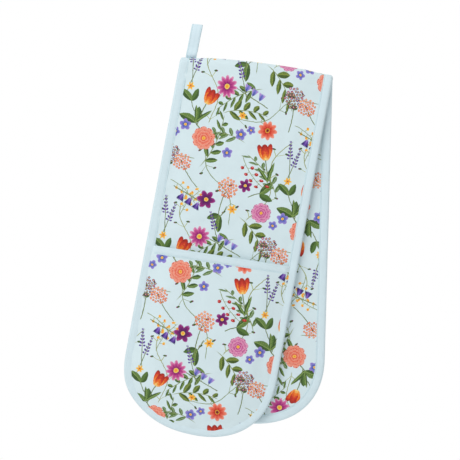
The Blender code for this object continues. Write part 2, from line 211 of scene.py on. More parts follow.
class Half:
    """One half of the strip: its flat shape, and how it hangs on the frame."""

    def __init__(self, name, side, sizes):
        pocket = JOINTS[name + "_pocket_mouth"]
        self.name = name
        self.side = side
        self.sizes = sizes
        self.half_width = sizes.strip_width / 2
        self.band = sizes.binding_width + PANEL_GAP
        self.corner = np.array(JOINTS[name + "_fold"]["pos_m"])
        self.reach = abs(self.corner[1])
        self.fold_line = np.array(JOINTS["rear_fold"]["axis"])
        self.across = -side * np.array(pocket["axis"])
        self.down = np.array((self.across[2], 0.0, -self.across[0]))
        self.outward = np.array((0.0, float(side), 0.0))
        self.slope = self.fold_line @ self.down / (self.fold_line @ self.across)
        self.lean = self.fold_line @ self.across
        turn_extra = (math.pi / 2 - 1) * self.reach
        hem = (np.array(pocket["pos_m"]) - self.corner) @ self.down
        self.tip = hem + self.band + turn_extra
        self.end_centre = self.tip - sizes.end_depth
        self.mouth = self.tip - sizes.pocket_depth

    def fold_middle(self, across):
        return across * self.slope

    def mouth_line(self, across):
        return self.mouth + self.side * across * math.tan(self.sizes.mouth_slope)

    def inset(self, across, along):
        """How far in from the strip's edge a flat place lies."""
        n = self.sizes.end_squareness
        past = np.maximum(along - self.end_centre, 0.0) / self.sizes.end_depth
        ring = (np.abs(across / self.half_width) ** n + past ** n) ** (1 / n)
        return self.half_width * (1 - ring)

    def end_point(self, angle, inset):
        """A place on the rounded end, from pi at the left side to 0 at the right."""
        power = 2 / self.sizes.end_squareness
        lean = np.sign(np.cos(angle)) * np.abs(np.cos(angle)) ** power
        drop = np.abs(np.sin(angle)) ** power
        across = (self.half_width - inset) * lean
        return across, self.end_centre + np.maximum(self.sizes.end_depth - inset, 0.0) * drop

    def hang(self, across, along, out):
        """Flat places to places in the frame: over the fold's turn, and then down."""
        from_fold = along - across * self.slope
        radius = self.reach + out
        angle = np.clip(from_fold / self.reach, 0.0, math.pi / 2)
        past = np.maximum(from_fold - self.reach * math.pi / 2, 0.0)
        drop = (self.reach - radius * np.cos(angle) + past) / self.lean + across * self.slope
        drop = drop - self.crest_lift(across, from_fold) - self.end_rise(across, along)
        depth = radius * np.sin(angle) - self.reach
        aside = across + past * math.tan(self.sizes.rear_drift) * (self.side > 0)
        return (
            self.corner
            + aside[..., None] * self.across
            + drop[..., None] * self.down
            + depth[..., None] * self.outward
        )

    def crest_lift(self, across, from_fold):
        """How far the fold's bow lifts a place, most at the fold."""
        share = np.clip(across / self.half_width, -1.0, 1.0)
        lift = self.sizes.crest_bow * (1 - share * share) + self.sizes.crest_lean * (1 - share) / 2
        return lift * (1 - ease(from_fold, 0.0, self.sizes.crest_reach))

    def end_rise(self, across, along):
        """How far the end draws up there, more at its left side."""
        share = ease(along, self.tip - self.sizes.end_drawn, self.tip - END_FIRM)
        return share * (self.sizes.end_lift - across * math.tan(self.sizes.end_skew))

    def half_thickness(self, inset):
        swell = ease(inset, self.band, self.band + self.sizes.swell_width)
        return (self.sizes.quilt_edge + (self.sizes.quilt - self.sizes.quilt_edge) * swell) / 2

    def outer_face(self, inset):
        return self.half_thickness(inset) - self.sizes.quilt / 2

    def inner_face(self, inset):
        return -self.half_thickness(inset) - self.sizes.quilt / 2

    def pocket_faces(self, across, along):
        """Out of the pocket's two faces, bowed out at the mouth and pressed flat inside the edge tape."""
        sizes = self.sizes
        inset = self.inset(across, along)
        below = along - self.mouth_line(across)
        ring = np.clip((self.half_width - inset) / (self.half_width - self.band), 0.0, 1.0)
        fall = below / (self.tip - self.band - self.mouth)
        bulge = sizes.pocket_bulge * (1 - ring * ring) * (1 - fall * fall)
        free = ease(inset, sizes.binding_width * TAPE_HOLD, self.band + FREE_REACH)
        under_tape = 1 - ease(below, sizes.mouth_binding_width, sizes.mouth_binding_width + MOUTH_RISE)
        stand_off = LOOSE_GAP + under_tape * (sizes.tape + MOUTH_GAP)
        back = self.outer_face(inset) + SEAM_GAP + free * stand_off + bulge
        swell = ease(inset, self.band, self.band + sizes.swell_width) * (1 - under_tape)
        thickness = sizes.pocket_quilt_edge + (sizes.pocket_quilt - sizes.pocket_quilt_edge) * swell
        thickness = sizes.pocket_seam + (thickness - sizes.pocket_seam) * free
        return back + thickness, back

    def pocket_under_tape(self, across, along):
        """How much of the pocket lies under the edge tape here, from 0 above the mouth to 1."""
        return ease(along - self.mouth_line(across), *TAPE_CLIMB)


def halves(sizes):
    return Half("front", -1, sizes), Half("rear", 1, sizes)


FINE_REACH = 0.0230  # from the fold's middle to where its bend ends; faces are small up to there
FINE_STEP = 0.4  # how small those faces are, next to the others
FINE_MOUTH = 0.012  # faces are small that far below a pocket's mouth, too
CORNER_POINTS = 40  # on each eighth of a turn of the rounded end, before it is cut into even steps
ROUND_POINTS = 400  # on the whole of its edge


def spaced(start, end, step):
    """Even steps from start to end, none longer than step."""
    return np.linspace(start, end, max(2, math.ceil((end - start) / step) + 1))


def fine_first(fine, length, step):
    """Shares of a length in even steps, which are small up to fine."""
    return np.concatenate([spaced(0.0, fine, step * FINE_STEP)[:-1], spaced(fine, length, step)]) / length


def run_along(points):
    """How far along a line each of its points lies."""
    return np.concatenate(([0.0], np.cumsum(np.linalg.norm(np.diff(points, axis=0), axis=1))))


def places_at(points, run, wanted):
    """The places along a line where its run has the wanted values."""
    return np.stack([np.interp(wanted, run, points[:, k]) for k in range(points.shape[1])], axis=1)


def resampled(points, shares):
    """Places along a polyline at shares of its length."""
    run = run_along(points)
    return places_at(points, run / run[-1], shares)


def filled(top, bottom, left, right):
    """A grid of flat places between four edges, which meet at their ends."""
    u = np.linspace(0, 1, len(top))[None, :, None]
    v = (np.arange(len(left)) / (len(left) - 1))[:, None, None]
    corners = (
        (1 - u) * (1 - v) * top[0] + u * (1 - v) * top[-1] + (1 - u) * v * bottom[0] + u * v * bottom[-1]
    )
    return (1 - v) * top[None] + v * bottom[None] + (1 - u) * left[:, None] + u * right[:, None] - corners


def cloth_panel(half, inset, top_line, drop, fine, step):
    """Flat places of a panel from a drop below its top line to the rounded end, in rows and columns."""
    reach = half.half_width - inset
    columns = 2 * max(4, round(reach / step))
    across = np.linspace(-reach, reach, columns + 1)
    top = np.stack([across, top_line(across) + drop], axis=1)
    length = half.end_centre + half.sizes.end_depth / 2 - top[:, 1].mean()
    rows = fine_first(fine, length, step)

    def on_end(angles):
        return np.stack(half.end_point(angles, inset), axis=1)

    angles = np.linspace(0, math.pi / 4, CORNER_POINTS)
    right = resampled(np.concatenate([top[-1:], on_end(angles)]), rows)
    left = resampled(np.concatenate([top[:1], on_end(math.pi - angles)]), rows)
    bottom = on_end(np.linspace(math.pi * 3 / 4, math.pi / 4, 2 * CORNER_POINTS))
    bottom = resampled(bottom, np.linspace(0, 1, columns + 1))
    flat = filled(top, bottom, left, right)
    u = np.linspace(0, 1, columns + 1)[None, :, None]
    shift = (rows[:, None] - np.linspace(0, 1, len(rows))[:, None])[..., None]
    fall = bottom - top
    return flat + shift * fall[None] - shift * ((1 - u) * fall[0] + u * fall[-1])


def cells(index):
    """The faces between the neighbouring places of a grid."""
    return np.stack([index[:-1, :-1], index[:-1, 1:], index[1:, 1:], index[1:, :-1]], axis=-1).reshape(-1, 4)


def smooth_mesh(name, points, faces, flat):
    """A smooth mesh, with its flat places as the UV map; a pad's two sides share theirs."""
    mesh = bpy.data.meshes.new(name)
    mesh.from_pydata(points.reshape(-1, 3).tolist(), [], faces.tolist())
    flat = flat.reshape(-1, 2)
    corners = np.array([loop.vertex_index for loop in mesh.loops]) % len(flat)
    uv = mesh.uv_layers.new(name="flat_cloth")
    uv.data.foreach_set("uv", flat[corners].ravel().astype(np.float32))
    mesh.shade_smooth()
    return mesh


def grid_mesh(name, points, flat, closed_across=False, flip=False):
    """A mesh over a grid of places."""
    rows, columns = points.shape[:2]
    index = np.arange(rows * columns).reshape(rows, columns)
    if closed_across:
        index = np.concatenate([index, index[:, :1]], axis=1)
    faces = cells(index)
    return smooth_mesh(name, points, faces[:, ::-1] if flip else faces, flat)


def linked(name, data):
    """A new object in the scene."""
    thing = bpy.data.objects.new(name, data)
    bpy.context.scene.collection.objects.link(thing)
    return thing


def add_object(mesh, material):
    thing = linked(mesh.name, mesh)
    thing.data.materials.append(material)
    return thing


def evaluated_mesh(thing):
    """A new mesh of the object with its modifiers applied."""
    graph = bpy.context.evaluated_depsgraph_get()
    return bpy.data.meshes.new_from_object(thing.evaluated_get(graph))


def fill_open_edges(shape):
    edges = [edge for edge in shape.edges if edge.is_boundary]
    bmesh.ops.holes_fill(shape, edges=edges, sides=0)


def follow_fold(thing):
    """Bakes the cloth's transform into its mesh."""
    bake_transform(thing)


def follow_pocket(thing, half):
    """Bakes the cloth's transform into its mesh."""
    middle = half.hang(np.array(0.0), np.array(half.mouth), np.array(0.0))
    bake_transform(thing)


def follow_loop(thing):
    """Bakes the loop's transform into its mesh."""
    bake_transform(thing)


SIMULATION_SCALE = 10.0  # the cloth is simulated at this many times its size, which keeps it steady
SIMULATION_STEPS = 20
WADDING_HOLD = 0.5  # how firmly the wadding holds a cloth, next to 1 in a seam
CLOTH_SETTINGS = {
    "quality": 6,
    "mass": 0.3,
    "tension_stiffness": 40.0,
    "compression_stiffness": 40.0,
    "shear_stiffness": 15.0,
    "bending_stiffness": 40.0,
    "air_damping": 2.0,
    "pin_stiffness": 1.0,
}


def smoothed(heights, turns):
    """Heights over a grid, evened out with their neighbours."""
    for turn in range(turns):
        wide = np.pad(heights, 1, mode="edge")
        total = wide[1:-1, 1:-1] * 2
        for neighbour in (wide[:-2, 1:-1], wide[2:, 1:-1], wide[1:-1, :-2], wide[1:-1, 2:]):
            total = total + neighbour
        heights = total / 6
    return heights


def rumples(flat, sewn, sizes, seed):
    """How a cloth, cut a little too large for its wadding, rises and sinks over it once it has settled.

    The cloth is simulated flat, at SIMULATION_SCALE times its size, sewn down where sewn says and held to
    the wadding by weaker springs elsewhere.
    """
    rows, columns = flat.shape[:2]
    start = smoothed(np.random.default_rng(seed).normal(0.0, sizes.rumple, (rows, columns)), 3)
    places = np.concatenate([flat, start[..., None]], axis=-1) * SIMULATION_SCALE
    thing = linked("settling", grid_mesh("settling", places, flat))
    held = thing.vertex_groups.new(name="held")
    held.add(np.flatnonzero(~sewn).tolist(), WADDING_HOLD, "REPLACE")
    held.add(np.flatnonzero(sewn).tolist(), 1.0, "REPLACE")
    maker = thing.modifiers.new("settling", "CLOTH")
    for key, value in CLOTH_SETTINGS.items():
        setattr(maker.settings, key, value)
    maker.settings.vertex_group_mass = held.name
    maker.settings.shrink_min = -sizes.cloth_ease
    maker.settings.shrink_max = -sizes.cloth_ease
    maker.settings.effector_weights.gravity = 0.0
    maker.collision_settings.use_collision = False
    maker.collision_settings.use_self_collision = False
    maker.point_cache.frame_start = 1
    maker.point_cache.frame_end = SIMULATION_STEPS
    for step in range(1, SIMULATION_STEPS + 1):
        bpy.context.scene.frame_set(step)
    mesh = evaluated_mesh(thing)
    settled = np.empty(len(mesh.vertices) * 3, np.float32)
    mesh.vertices.foreach_get("co", settled)
    bpy.data.objects.remove(thing, do_unlink=True)
    bpy.data.meshes.remove(mesh)
    bpy.context.scene.frame_set(1)
    heights = smoothed(settled.reshape(rows, columns, 3)[..., 2].astype(float) / SIMULATION_SCALE, 2)
    return sizes.rumple * np.tanh(heights / sizes.rumple)


LINING_SHIFT = 0.140  # how far aside of the outer cloth's print the lining's lies
POCKET_SHIFT = (0.13, 0.07)  # how far across and along of it the pocket's lies
CLOTH_LOOSE = 0.012  # how far inside the tape a cloth takes to come loose
FREE_LOSS = 0.5  # how much of its rumples a cloth loses where it is loose
CREST_SMOOTH = (0.004, 0.03)  # from the fold's middle, where a cloth stops being drawn smooth
RIPPLE = 0.0004  # how high a half's cloths ripple
POCKET_RIPPLE = 0.0005
PUCKER = 0.0003  # how high the small gathers beside a tape are
POCKET_INSET = 0.001  # how much further in than a half's cloths a pocket's stop
POCKET_DROP = 0.0012  # how far below the mouth line a pocket's cloths start


def puckers(half, across, along, inset):
    """Small gathers where the cloth goes under the tape, fading towards the middle."""
    edge = half.sizes.binding_width
    near = ease(inset, edge - 0.003, edge + 0.002)
    near = near * (1 - ease(inset, edge + 0.002, edge + 0.022))
    return near * ripple(0.016, 31 + half.side, along, across)


def hung_cloth(name, half, outer, place, uv, material):
    """A cloth of a half or a pocket, with its thickness behind the face that shows."""
    mesh = grid_mesh(name, half.hang(*place), np.stack(uv, axis=-1), flip=(half.side > 0) == outer)
    thing = add_object(mesh, material)
    solid = thing.modifiers.new("thickness", "SOLIDIFY")
    solid.thickness = half.sizes.cloth
    solid.offset = -1.0
    mesh = evaluated_mesh(thing)
    thing.modifiers.clear()
    thing.data = mesh
    mesh.name = thing.name
    return thing


def strip_cloth(half, outer, material):
    """The outer cloth or the lining of a half, from the middle of the fold to the rounded end."""
    sizes = half.sizes
    flat = cloth_panel(half, sizes.seam_inset, half.fold_middle, 0.0, FINE_REACH, sizes.mesh_step)
    across, along = flat[..., 0], flat[..., 1]
    inset = half.inset(across, along)
    free = ease(inset, sizes.binding_width, sizes.binding_width + CLOTH_LOOSE)
    settled = ease(along - half.fold_middle(across), *CREST_SMOOTH)
    if outer:
        name = half.name + "_outer_cloth_sheet"
        out = half.outer_face(inset) + RIPPLE * free * settled * ripple(0.06, 5 + half.side, along, across)
        out = out + PUCKER * puckers(half, across, along, inset)
        sewn = inset < sizes.binding_width
        out = out + settled * rumples(flat, sewn, sizes, 51 + half.side) * (1 - FREE_LOSS * free)
        printed_across = across
    else:
        name = half.name + "_lining_sheet"
        out = half.inner_face(inset) + RIPPLE * free * settled * (ripple(0.07, 9, along, across) + 1) / 2
        printed_across = LINING_SHIFT - across
    uv = (printed_across, half.side * along)
    return hung_cloth(name, half, outer, (across, along, out), uv, material)


def pocket_cloth(half, outer, material):
    """A pocket's outer cloth or lining, whole."""
    sizes = half.sizes
    edge = sizes.seam_inset + POCKET_INSET
    flat = cloth_panel(half, edge, half.mouth_line, POCKET_DROP, FINE_MOUTH, sizes.mesh_step)
    across, along = flat[..., 0], flat[..., 1]
    front, back = half.pocket_faces(across, along)
    if outer:
        name = half.name + "_pocket_outer_cloth_sheet"
        inset = half.inset(across, along)
        below = along - half.mouth_line(across)
        free = ease(inset, sizes.binding_width, sizes.binding_width + CLOTH_LOOSE) * ease(below, 0.010, 0.025)
        out = front + POCKET_RIPPLE * free * ripple(0.05, 41 + half.side, along, across)
        out = out + PUCKER * ease(below, 0.009, 0.014) * puckers(half, across, along, inset)
        sewn = (inset < sizes.binding_width) | (below < sizes.mouth_binding_width)
        loose = ease(below, 0.010, 0.016)
        out = out + loose * rumples(flat, sewn, sizes, 61 + half.side) * (1 - FREE_LOSS * free)
    else:
        name = half.name + "_pocket_lining_sheet"
        out = back
    uv = (across + POCKET_SHIFT[0], half.side * along + POCKET_SHIFT[1])
    return hung_cloth(name, half, outer, (across, along, out), uv, material)


def hung_pad(name, half, flat, front, back, material):
    """A closed pad over flat places, between its front and its back."""
    across, along = flat[..., 0], flat[..., 1]
    points = np.concatenate([half.hang(across, along, out).reshape(-1, 3) for out in (front, back)])
    rows, columns = flat.shape[:2]
    count = rows * columns
    index = np.arange(count).reshape(rows, columns)
    rim = np.concatenate([index[0, :-1], index[:-1, -1], index[-1, :0:-1], index[:0:-1, 0]])
    following = np.roll(rim, -1)
    walls = np.stack([following, rim, rim + count, following + count], axis=-1)
    faces = np.concatenate([cells(index), cells(index + count)[:, [0, 3, 2, 1]], walls])
    if half.side > 0:
        faces = faces[:, ::-1]
    return add_object(smooth_mesh(name, points, faces, flat), material)


WADDING_INSET = 0.002  # how much further in than its cloths a half's wadding stops
WADDING_CLEAR = 0.0010  # between a half's cloth and its wadding
POCKET_WADDING_DROP = 0.003  # how far below the mouth line a pocket's wadding starts
POCKET_CLEAR = 0.0006  # between a pocket's cloth and its wadding
LEAST_WADDING = 0.0001  # how thin a pocket's wadding may get


def strip_wadding(half, material):
    """The wadding of a half, as a closed pad between its cloths."""
    sizes = half.sizes
    edge = sizes.seam_inset + WADDING_INSET
    flat = cloth_panel(half, edge, half.fold_middle, 0.0, FINE_REACH, sizes.mesh_step * 2)
    inset = half.inset(flat[..., 0], flat[..., 1])
    clear = sizes.cloth + WADDING_CLEAR
    front, back = half.outer_face(inset) - clear, half.inner_face(inset) + clear
    return hung_pad(half.name + "_wadding_pad", half, flat, front, back, material)


def pocket_wadding(half, material):
    """A pocket's wadding, as a closed pad."""
    sizes = half.sizes
    edge, step = sizes.binding_width, sizes.mesh_step * 2
    flat = cloth_panel(half, edge, half.mouth_line, POCKET_WADDING_DROP, FINE_MOUTH, step)
    front, back = half.pocket_faces(flat[..., 0], flat[..., 1])
    clear = sizes.cloth + POCKET_CLEAR
    front, back = np.maximum(front - clear, back + clear + LEAST_WADDING), back + clear
    return hung_pad(half.name + "_pocket_wadding_pad", half, flat, front, back, material)


STITCH_INSET = 0.0016  # from a tape's folded edge to its row of stitches
STITCH_ROW = 5  # where a tape leg's section runs in its stitch groove
TURNED_IN = 0.0008  # how far a tape's inner face stops short of its folded edge


def tape_leg(width, tape, puff=0.00025, groove=0.0003):
    """The outer surface of a folded tape's leg: pairs of inset and height, from its folded edge outwards."""
    stitch = width - STITCH_INSET
    return [
        (width, 0.15 * tape),
        (width - 0.00015, 0.62 * tape),
        (width - 0.0005, 0.95 * tape),
        (width - 0.0010, tape),
        (stitch + 0.0002, tape - 0.6 * groove),
        (stitch, tape - groove),
        (stitch - 0.0003, tape - 0.6 * groove),
        (stitch - 0.0010, tape + 0.1 * puff),
        (width * 0.62, tape + 0.8 * puff),
        (width * 0.45, tape + puff),
        (width * 0.30, tape + 0.7 * puff),
    ]


class FoldedTape:
    """A folded tape's section: one leg, the rim, the other leg, and back along the inner face."""

    def __init__(self, width, tape, rim_points, rim_reach, rim_roll, inner):
        self.leg = np.array(tape_leg(width, tape))
        angles = np.linspace(0, math.pi, rim_points)
        self.rim = np.array([(rim_reach * (1 - math.sin(a)), math.cos(a)) for a in angles])
        turned = width - TURNED_IN
        self.inside = np.array([(turned, -1.0), (inner, -1.0), (inner, 1.0), (turned, 1.0)])
        leg, rim, inside = self.leg[:, 0], self.rim, self.inside[:, 0]
        self.insets = np.concatenate([leg, rim[:, 0], leg[::-1], inside])
        self.rolled = np.concatenate([leg, -rim[:, 1] * rim_roll, -leg[::-1], -inside])
        self.front = slice(0, len(leg))
        self.back = slice(len(leg) + rim_points, 2 * len(leg) + rim_points)
        self.stitched = ((STITCH_ROW, 1), (self.back.stop - 1 - STITCH_ROW, -1))

    def joined(self, front, back, inner):
        """Heights over the whole section, from those of its legs and its inner face."""
        top, bottom = front[:, -1:], back[:, :1]
        rim = (top + bottom) / 2 + (top - bottom) / 2 * self.rim[None, :, 1]
        return np.concatenate([front, rim, back, inner], axis=1)


def edge_section(sizes):
    return FoldedTape(sizes.binding_width, sizes.tape, 11, 0.0022, 0.002, 0.0022)


def mouth_section(sizes):
    return FoldedTape(sizes.mouth_binding_width, sizes.tape, 9, 0.0016, 0.0015, 0.0012)


def rolled_out(across, run):
    """A tape's flat places, from how far across it each row lies and how far along each station does."""
    return np.stack(np.broadcast_arrays(across[None], run[:, None]), axis=-1)


def edge_places(half, inset):
    """Flat places along the whole edge at each inset: stations by insets."""
    step = half.sizes.mesh_step
    share = fine_first(FINE_REACH, half.end_centre, step)[:-1, None]
    angles = np.linspace(math.pi, 0.0, ROUND_POINTS)
    run = run_along(np.stack(half.end_point(angles, 0.0), axis=1))
    end = np.interp(spaced(0.0, run[-1], step), run, angles)
    inset = np.atleast_1d(inset)[None, :]
    reach = half.half_width - inset
    left = -reach + 0 * share
    right = reach + 0 * share
    left_along = half.fold_middle(left) * (1 - share) + half.end_centre * share
    right_along = half.fold_middle(right) * (1 - share) + half.end_centre * share
    end_across, end_along = half.end_point(end[:, None], inset)
    across = np.concatenate([left, end_across, right[::-1]])
    along = np.concatenate([left_along, end_along, right_along[::-1]])
    return across, along


def edge_tape_places(half):
    """Places over the folded tape round the edge, stations by section, with its UVs."""
    sizes = half.sizes
    section = edge_section(sizes)
    leg = section.leg[:, 1]
    base = sizes.quilt_edge / 2 + 0.0001
    across, along = edge_places(half, section.insets)
    seam_across, seam_along = edge_places(half, sizes.binding_width)
    under = half.pocket_under_tape(seam_across, seam_along)
    mouth = np.exp(-(((seam_along - half.mouth_line(seam_across) - 0.005) / 0.007) ** 2))
    lift = under * (sizes.pocket_seam + 0.0002) + mouth * 0.0009
    run = run_along(np.concatenate([seam_across, seam_along], axis=1))
    wave = ripple(0.012, 3 + half.side, run)[:, None]
    slow = ripple(0.05, 17 + half.side, run)[:, None]
    front = base + lift + leg[None] * (1 + 0.10 * wave + 0.08 * slow)
    back = base + leg[None, ::-1] * (1 + 0.10 * np.roll(wave, 5, axis=0))
    inner = np.where(section.inside[:, 1] > 0, base + lift, -base)
    out = section.joined(front, -back, inner) - sizes.quilt / 2
    return across, along, out, rolled_out(section.rolled, run)


def mouth_tape_places(half):
    """Places over the tape folded on a pocket's mouth, columns by section, with its UVs."""
    sizes = half.sizes
    section = mouth_section(sizes)
    leg = section.leg[:, 1]
    edge = sizes.binding_width
    columns = spaced(0.0, half.half_width - sizes.seam_inset - 0.002, sizes.mesh_step)
    line = np.concatenate([-columns[:0:-1], columns])
    below = section.insets[None]
    across = line[:, None] + 0 * below
    along = half.mouth_line(line)[:, None] + below
    front, back = half.pocket_faces(across, along)
    wave = ripple(0.012, 77 + half.side, line)[:, None]
    free = ease(half.half_width - np.abs(line), edge * TAPE_HOLD, edge + FREE_REACH)[:, None]
    flatter = 0.45 + 0.55 * free
    inner = np.where(section.inside[:, 1] > 0, front[:, -4:] + 0.00005, back[:, -4:] - 0.00005)
    front = front[:, section.front] + leg[None] * (1 + 0.1 * wave) * flatter
    back = back[:, section.back] - leg[None, ::-1] * flatter
    return across, along, section.joined(front, back, inner), rolled_out(section.rolled, line)


def swept_tape(name, points, uv, material, flip=False):
    """A tape over its stations' sections, closed at both ends."""
    tape = add_object(grid_mesh(name, points, uv, closed_across=True, flip=flip), material)
    shape = bmesh.new()
    shape.from_mesh(tape.data)
    fill_open_edges(shape)
    shape.to_mesh(tape.data)
    shape.free()
    return tape


def edge_tape(half, material):
    """The folded tape round the edge: over the outer face, round the rim and over the lining."""
    *place, uv = edge_tape_places(half)
    return swept_tape(half.name + "_edge_binding", half.hang(*place), uv, material, flip=half.side < 0)


def mouth_tape(half, material):
    """The tape folded over a pocket's mouth, whole."""
    *place, uv = mouth_tape_places(half)
    return swept_tape(half.name + "_mouth_binding_tape", half.hang(*place), uv, material, flip=half.side > 0)


def hand_name(hand):
    return "left" if hand < 0 else "right"


def keep_shading(thing):
    """Stores how the whole piece is shaded at each corner of its faces."""
    mesh = thing.data
    normals = np.empty(len(mesh.loops) * 3, np.float32)
    mesh.corner_normals.foreach_get("vector", normals)
    stored = mesh.attributes.new("whole_normal", "FLOAT_VECTOR", "CORNER")
    stored.data.foreach_set("vector", normals)


def parted(thing, half, hand):
    """One hand of a piece cut at the middle of its half, shaded as the whole piece is."""
    mesh = thing.data.copy()
    shape = bmesh.new()
    shape.from_mesh(mesh)
    other = [face for face in shape.faces
             if hand * float((np.array(face.calc_center_median()) - half.corner) @ half.across) < 0]
    bmesh.ops.delete(shape, geom=other, context="FACES")
    fill_open_edges(shape)
    shape.to_mesh(mesh)
    shape.free()
    stored = mesh.attributes["whole_normal"]
    normals = np.empty(len(mesh.loops) * 3, np.float32)
    stored.data.foreach_get("vector", normals)
    mesh.attributes.remove(stored)
    mesh.normals_split_custom_set(normals.reshape(-1, 3).tolist())
    piece = linked(thing.name + "_" + hand_name(hand), mesh)
    mesh.name = piece.name
    return piece


def in_two(thing, half):
    """Parts a pocket's piece at its middle, and bakes each hand's transform into its mesh."""
    keep_shading(thing)
    pieces = []
    for hand in (-1, 1):
        piece = parted(thing, half, hand)
        follow_pocket(piece, half)
        pieces.append(piece)
    bpy.data.objects.remove(thing, do_unlink=True)
    return pieces


def give(tree, socket, value):
    """Links a value to a socket, or sets it there."""
    if isinstance(value, Value):
        tree.links.new(value.socket, socket)
    elif isinstance(value, bpy.types.NodeSocket):
        tree.links.new(value, socket)
    elif isinstance(value, (int, float, str)):
        socket.default_value = value
    else:
        socket.default_value = (*value, 1.0)[:len(socket.default_value)]


def give_all(tree, node, inputs):
    """Links or sets a node's inputs, by their names or numbers."""
    for key, value in inputs.items():
        give(tree, node.inputs[key], value)
    return node


def add_node(tree, kind, inputs, **settings):
    """A new node with its settings and its inputs."""
    node = tree.nodes.new(kind)
    for key, value in settings.items():
        setattr(node, key, value)
    return give_all(tree, node, inputs)


def new_group(name, kind, inputs, output):
    """A node group with its named inputs and its output, each with the kind of its socket."""
    tree = bpy.data.node_groups.new(name, kind)
    for label, socket in inputs:
        tree.interface.new_socket(label, in_out="INPUT", socket_type="NodeSocket" + socket)
    tree.interface.new_socket(output[0], in_out="OUTPUT", socket_type="NodeSocket" + output[1])
    return tree


STITCH_SIDES = 7
STITCH_RINGS = 5
STITCH_SLANT = (math.radians(-7), math.radians(3))  # the least and most turn of a stitch


def stitch_tree():
    """Stitches end to end along the edges of a mesh, lying on the way out of the cloth."""
    inputs = (("Geometry", "Geometry"), ("Stitch Length", "Float"), ("Stitch Gap", "Float"),
              ("Thread", "Float"), ("Seed", "Int"), ("Material", "Material"))
    tree = new_group("row_of_stitches", "GeometryNodeTree", inputs, ("Geometry", "Geometry"))
    given = tree.nodes.new("NodeGroupInput").outputs

    def made(kind, output, inputs, **settings):
        return add_node(tree, kind, inputs, **settings).outputs[output]

    length, thread = given["Stitch Length"], given["Thread"]
    curve = made("GeometryNodeMeshToCurve", "Curve", {"Mesh": given["Geometry"]})
    pitch = made("ShaderNodeMath", 0, {0: length, 1: given["Stitch Gap"]}, operation="ADD")
    spots = made("GeometryNodeResampleCurve", "Curve", {"Curve": curve, "Length": pitch}, mode="LENGTH")
    ball = made("GeometryNodeMeshUVSphere", "Mesh",
                {"Segments": STITCH_SIDES, "Rings": STITCH_RINGS, "Radius": 0.5})
    size = made("ShaderNodeCombineXYZ", "Vector", {"X": thread, "Y": thread, "Z": length})
    stitch = made("GeometryNodeTransform", "Geometry", {"Geometry": ball, "Scale": size})
    tangent = made("GeometryNodeInputTangent", "Tangent", {})
    way = made("GeometryNodeInputNamedAttribute", "Attribute", {"Name": "way_out"}, data_type="FLOAT_VECTOR")
    along = made("FunctionNodeAlignRotationToVector", "Rotation", {"Vector": tangent}, axis="Z")
    lying = made("FunctionNodeAlignRotationToVector", "Rotation", {"Rotation": along, "Vector": way},
                 axis="X", pivot_axis="Z")
    least, most = STITCH_SLANT
    slant = made("FunctionNodeRandomValue", 1, {"Min": least, "Max": most, "Seed": given["Seed"]},
                 data_type="FLOAT")
    turn = made("ShaderNodeCombineXYZ", "Vector", {"X": slant})
    turned = made("FunctionNodeRotateRotation", "Rotation", {"Rotation": lying, "Rotate By": turn},
                  rotation_space="LOCAL")
    placed = made("GeometryNodeInstanceOnPoints", "Instances",
                  {"Points": spots, "Instance": stitch, "Rotation": turned})
    real = made("GeometryNodeRealizeInstances", "Geometry", {"Geometry": placed})
    smooth = made("GeometryNodeSetShadeSmooth", "Geometry", {"Geometry": real})
    sewn = made("GeometryNodeSetMaterial", "Geometry", {"Geometry": smooth, "Material": given["Material"]})
    add_node(tree, "NodeGroupOutput", {"Geometry": sewn})
    return tree


def seam_lines(half, places, stitched):
    """The lines of a tape's stitch grooves: their places, and the way out of the cloth there."""
    across, along, out = places
    lines = []
    for row, face in stitched:
        points = half.hang(across[:, row], along[:, row], out[:, row])
        ways = half.hang(across[:, row], along[:, row], out[:, row] + face * 0.001) - points
        lines.append((points, ways / np.linalg.norm(ways, axis=1)[:, None]))
    return lines


def stitching(name, lines, sizes, seed):
    """Rows of stitches along lines, as one mesh."""
    points = np.concatenate([line for line, way in lines])
    ways = np.concatenate([way for line, way in lines])
    edges = []
    first = 0
    for line, way in lines:
        edges += [(first + i, first + i + 1) for i in range(len(line) - 1)]
        first += len(line)
    mesh = bpy.data.meshes.new(name)
    mesh.from_pydata(points.tolist(), edges, [])
    stored = mesh.attributes.new("way_out", "FLOAT_VECTOR", "POINT")
    stored.data.foreach_set("vector", ways.astype(np.float32).ravel())
    row = linked(name, mesh)
    tree = bpy.data.node_groups.get("row_of_stitches") or stitch_tree()
    maker = row.modifiers.new("stitches", "NODES")
    maker.node_group = tree
    values = {"Stitch Length": sizes.stitch_length, "Stitch Gap": sizes.stitch_gap, "Thread": sizes.thread,
              "Seed": seed, "Material": bpy.data.materials["sewing_thread"]}
    for item in tree.interface.items_tree:
        if item.in_out == "INPUT" and item.name in values:
            maker[item.identifier] = values[item.name]
    row.update_tag()
    bpy.context.view_layer.update()
    made = evaluated_mesh(row)
    made.name = name
    bpy.data.objects.remove(row, do_unlink=True)
    if "way_out" in made.attributes:
        made.attributes.remove(made.attributes["way_out"])
    return linked(name, made)


LOOP_AXIS_HEIGHT = 0.00145  # of the loop's swing over the fold's crest, as in the frame
LOOP_STEP = 0.0012  # between the stations along the loop's tape
LOOP_STITCH_ROW = 7  # where the loop's section runs in its stitch groove
LOOP_STITCH_START = 0.004  # the height over the swing's axis from which the rows of stitches show
FOOT_DROP = 0.0095  # how far down from the fold's middle the loop's ends reach
FOOT_SINK = 0.0008  # how far its ends are pressed into the quilt
FOOT_ANGLE = 82  # where the ends come up on the fold's round, from its top
LEAVE_ANGLE = 24  # where they leave it
LEAVE_STEP = 0.0016  # how far straight on they go from there


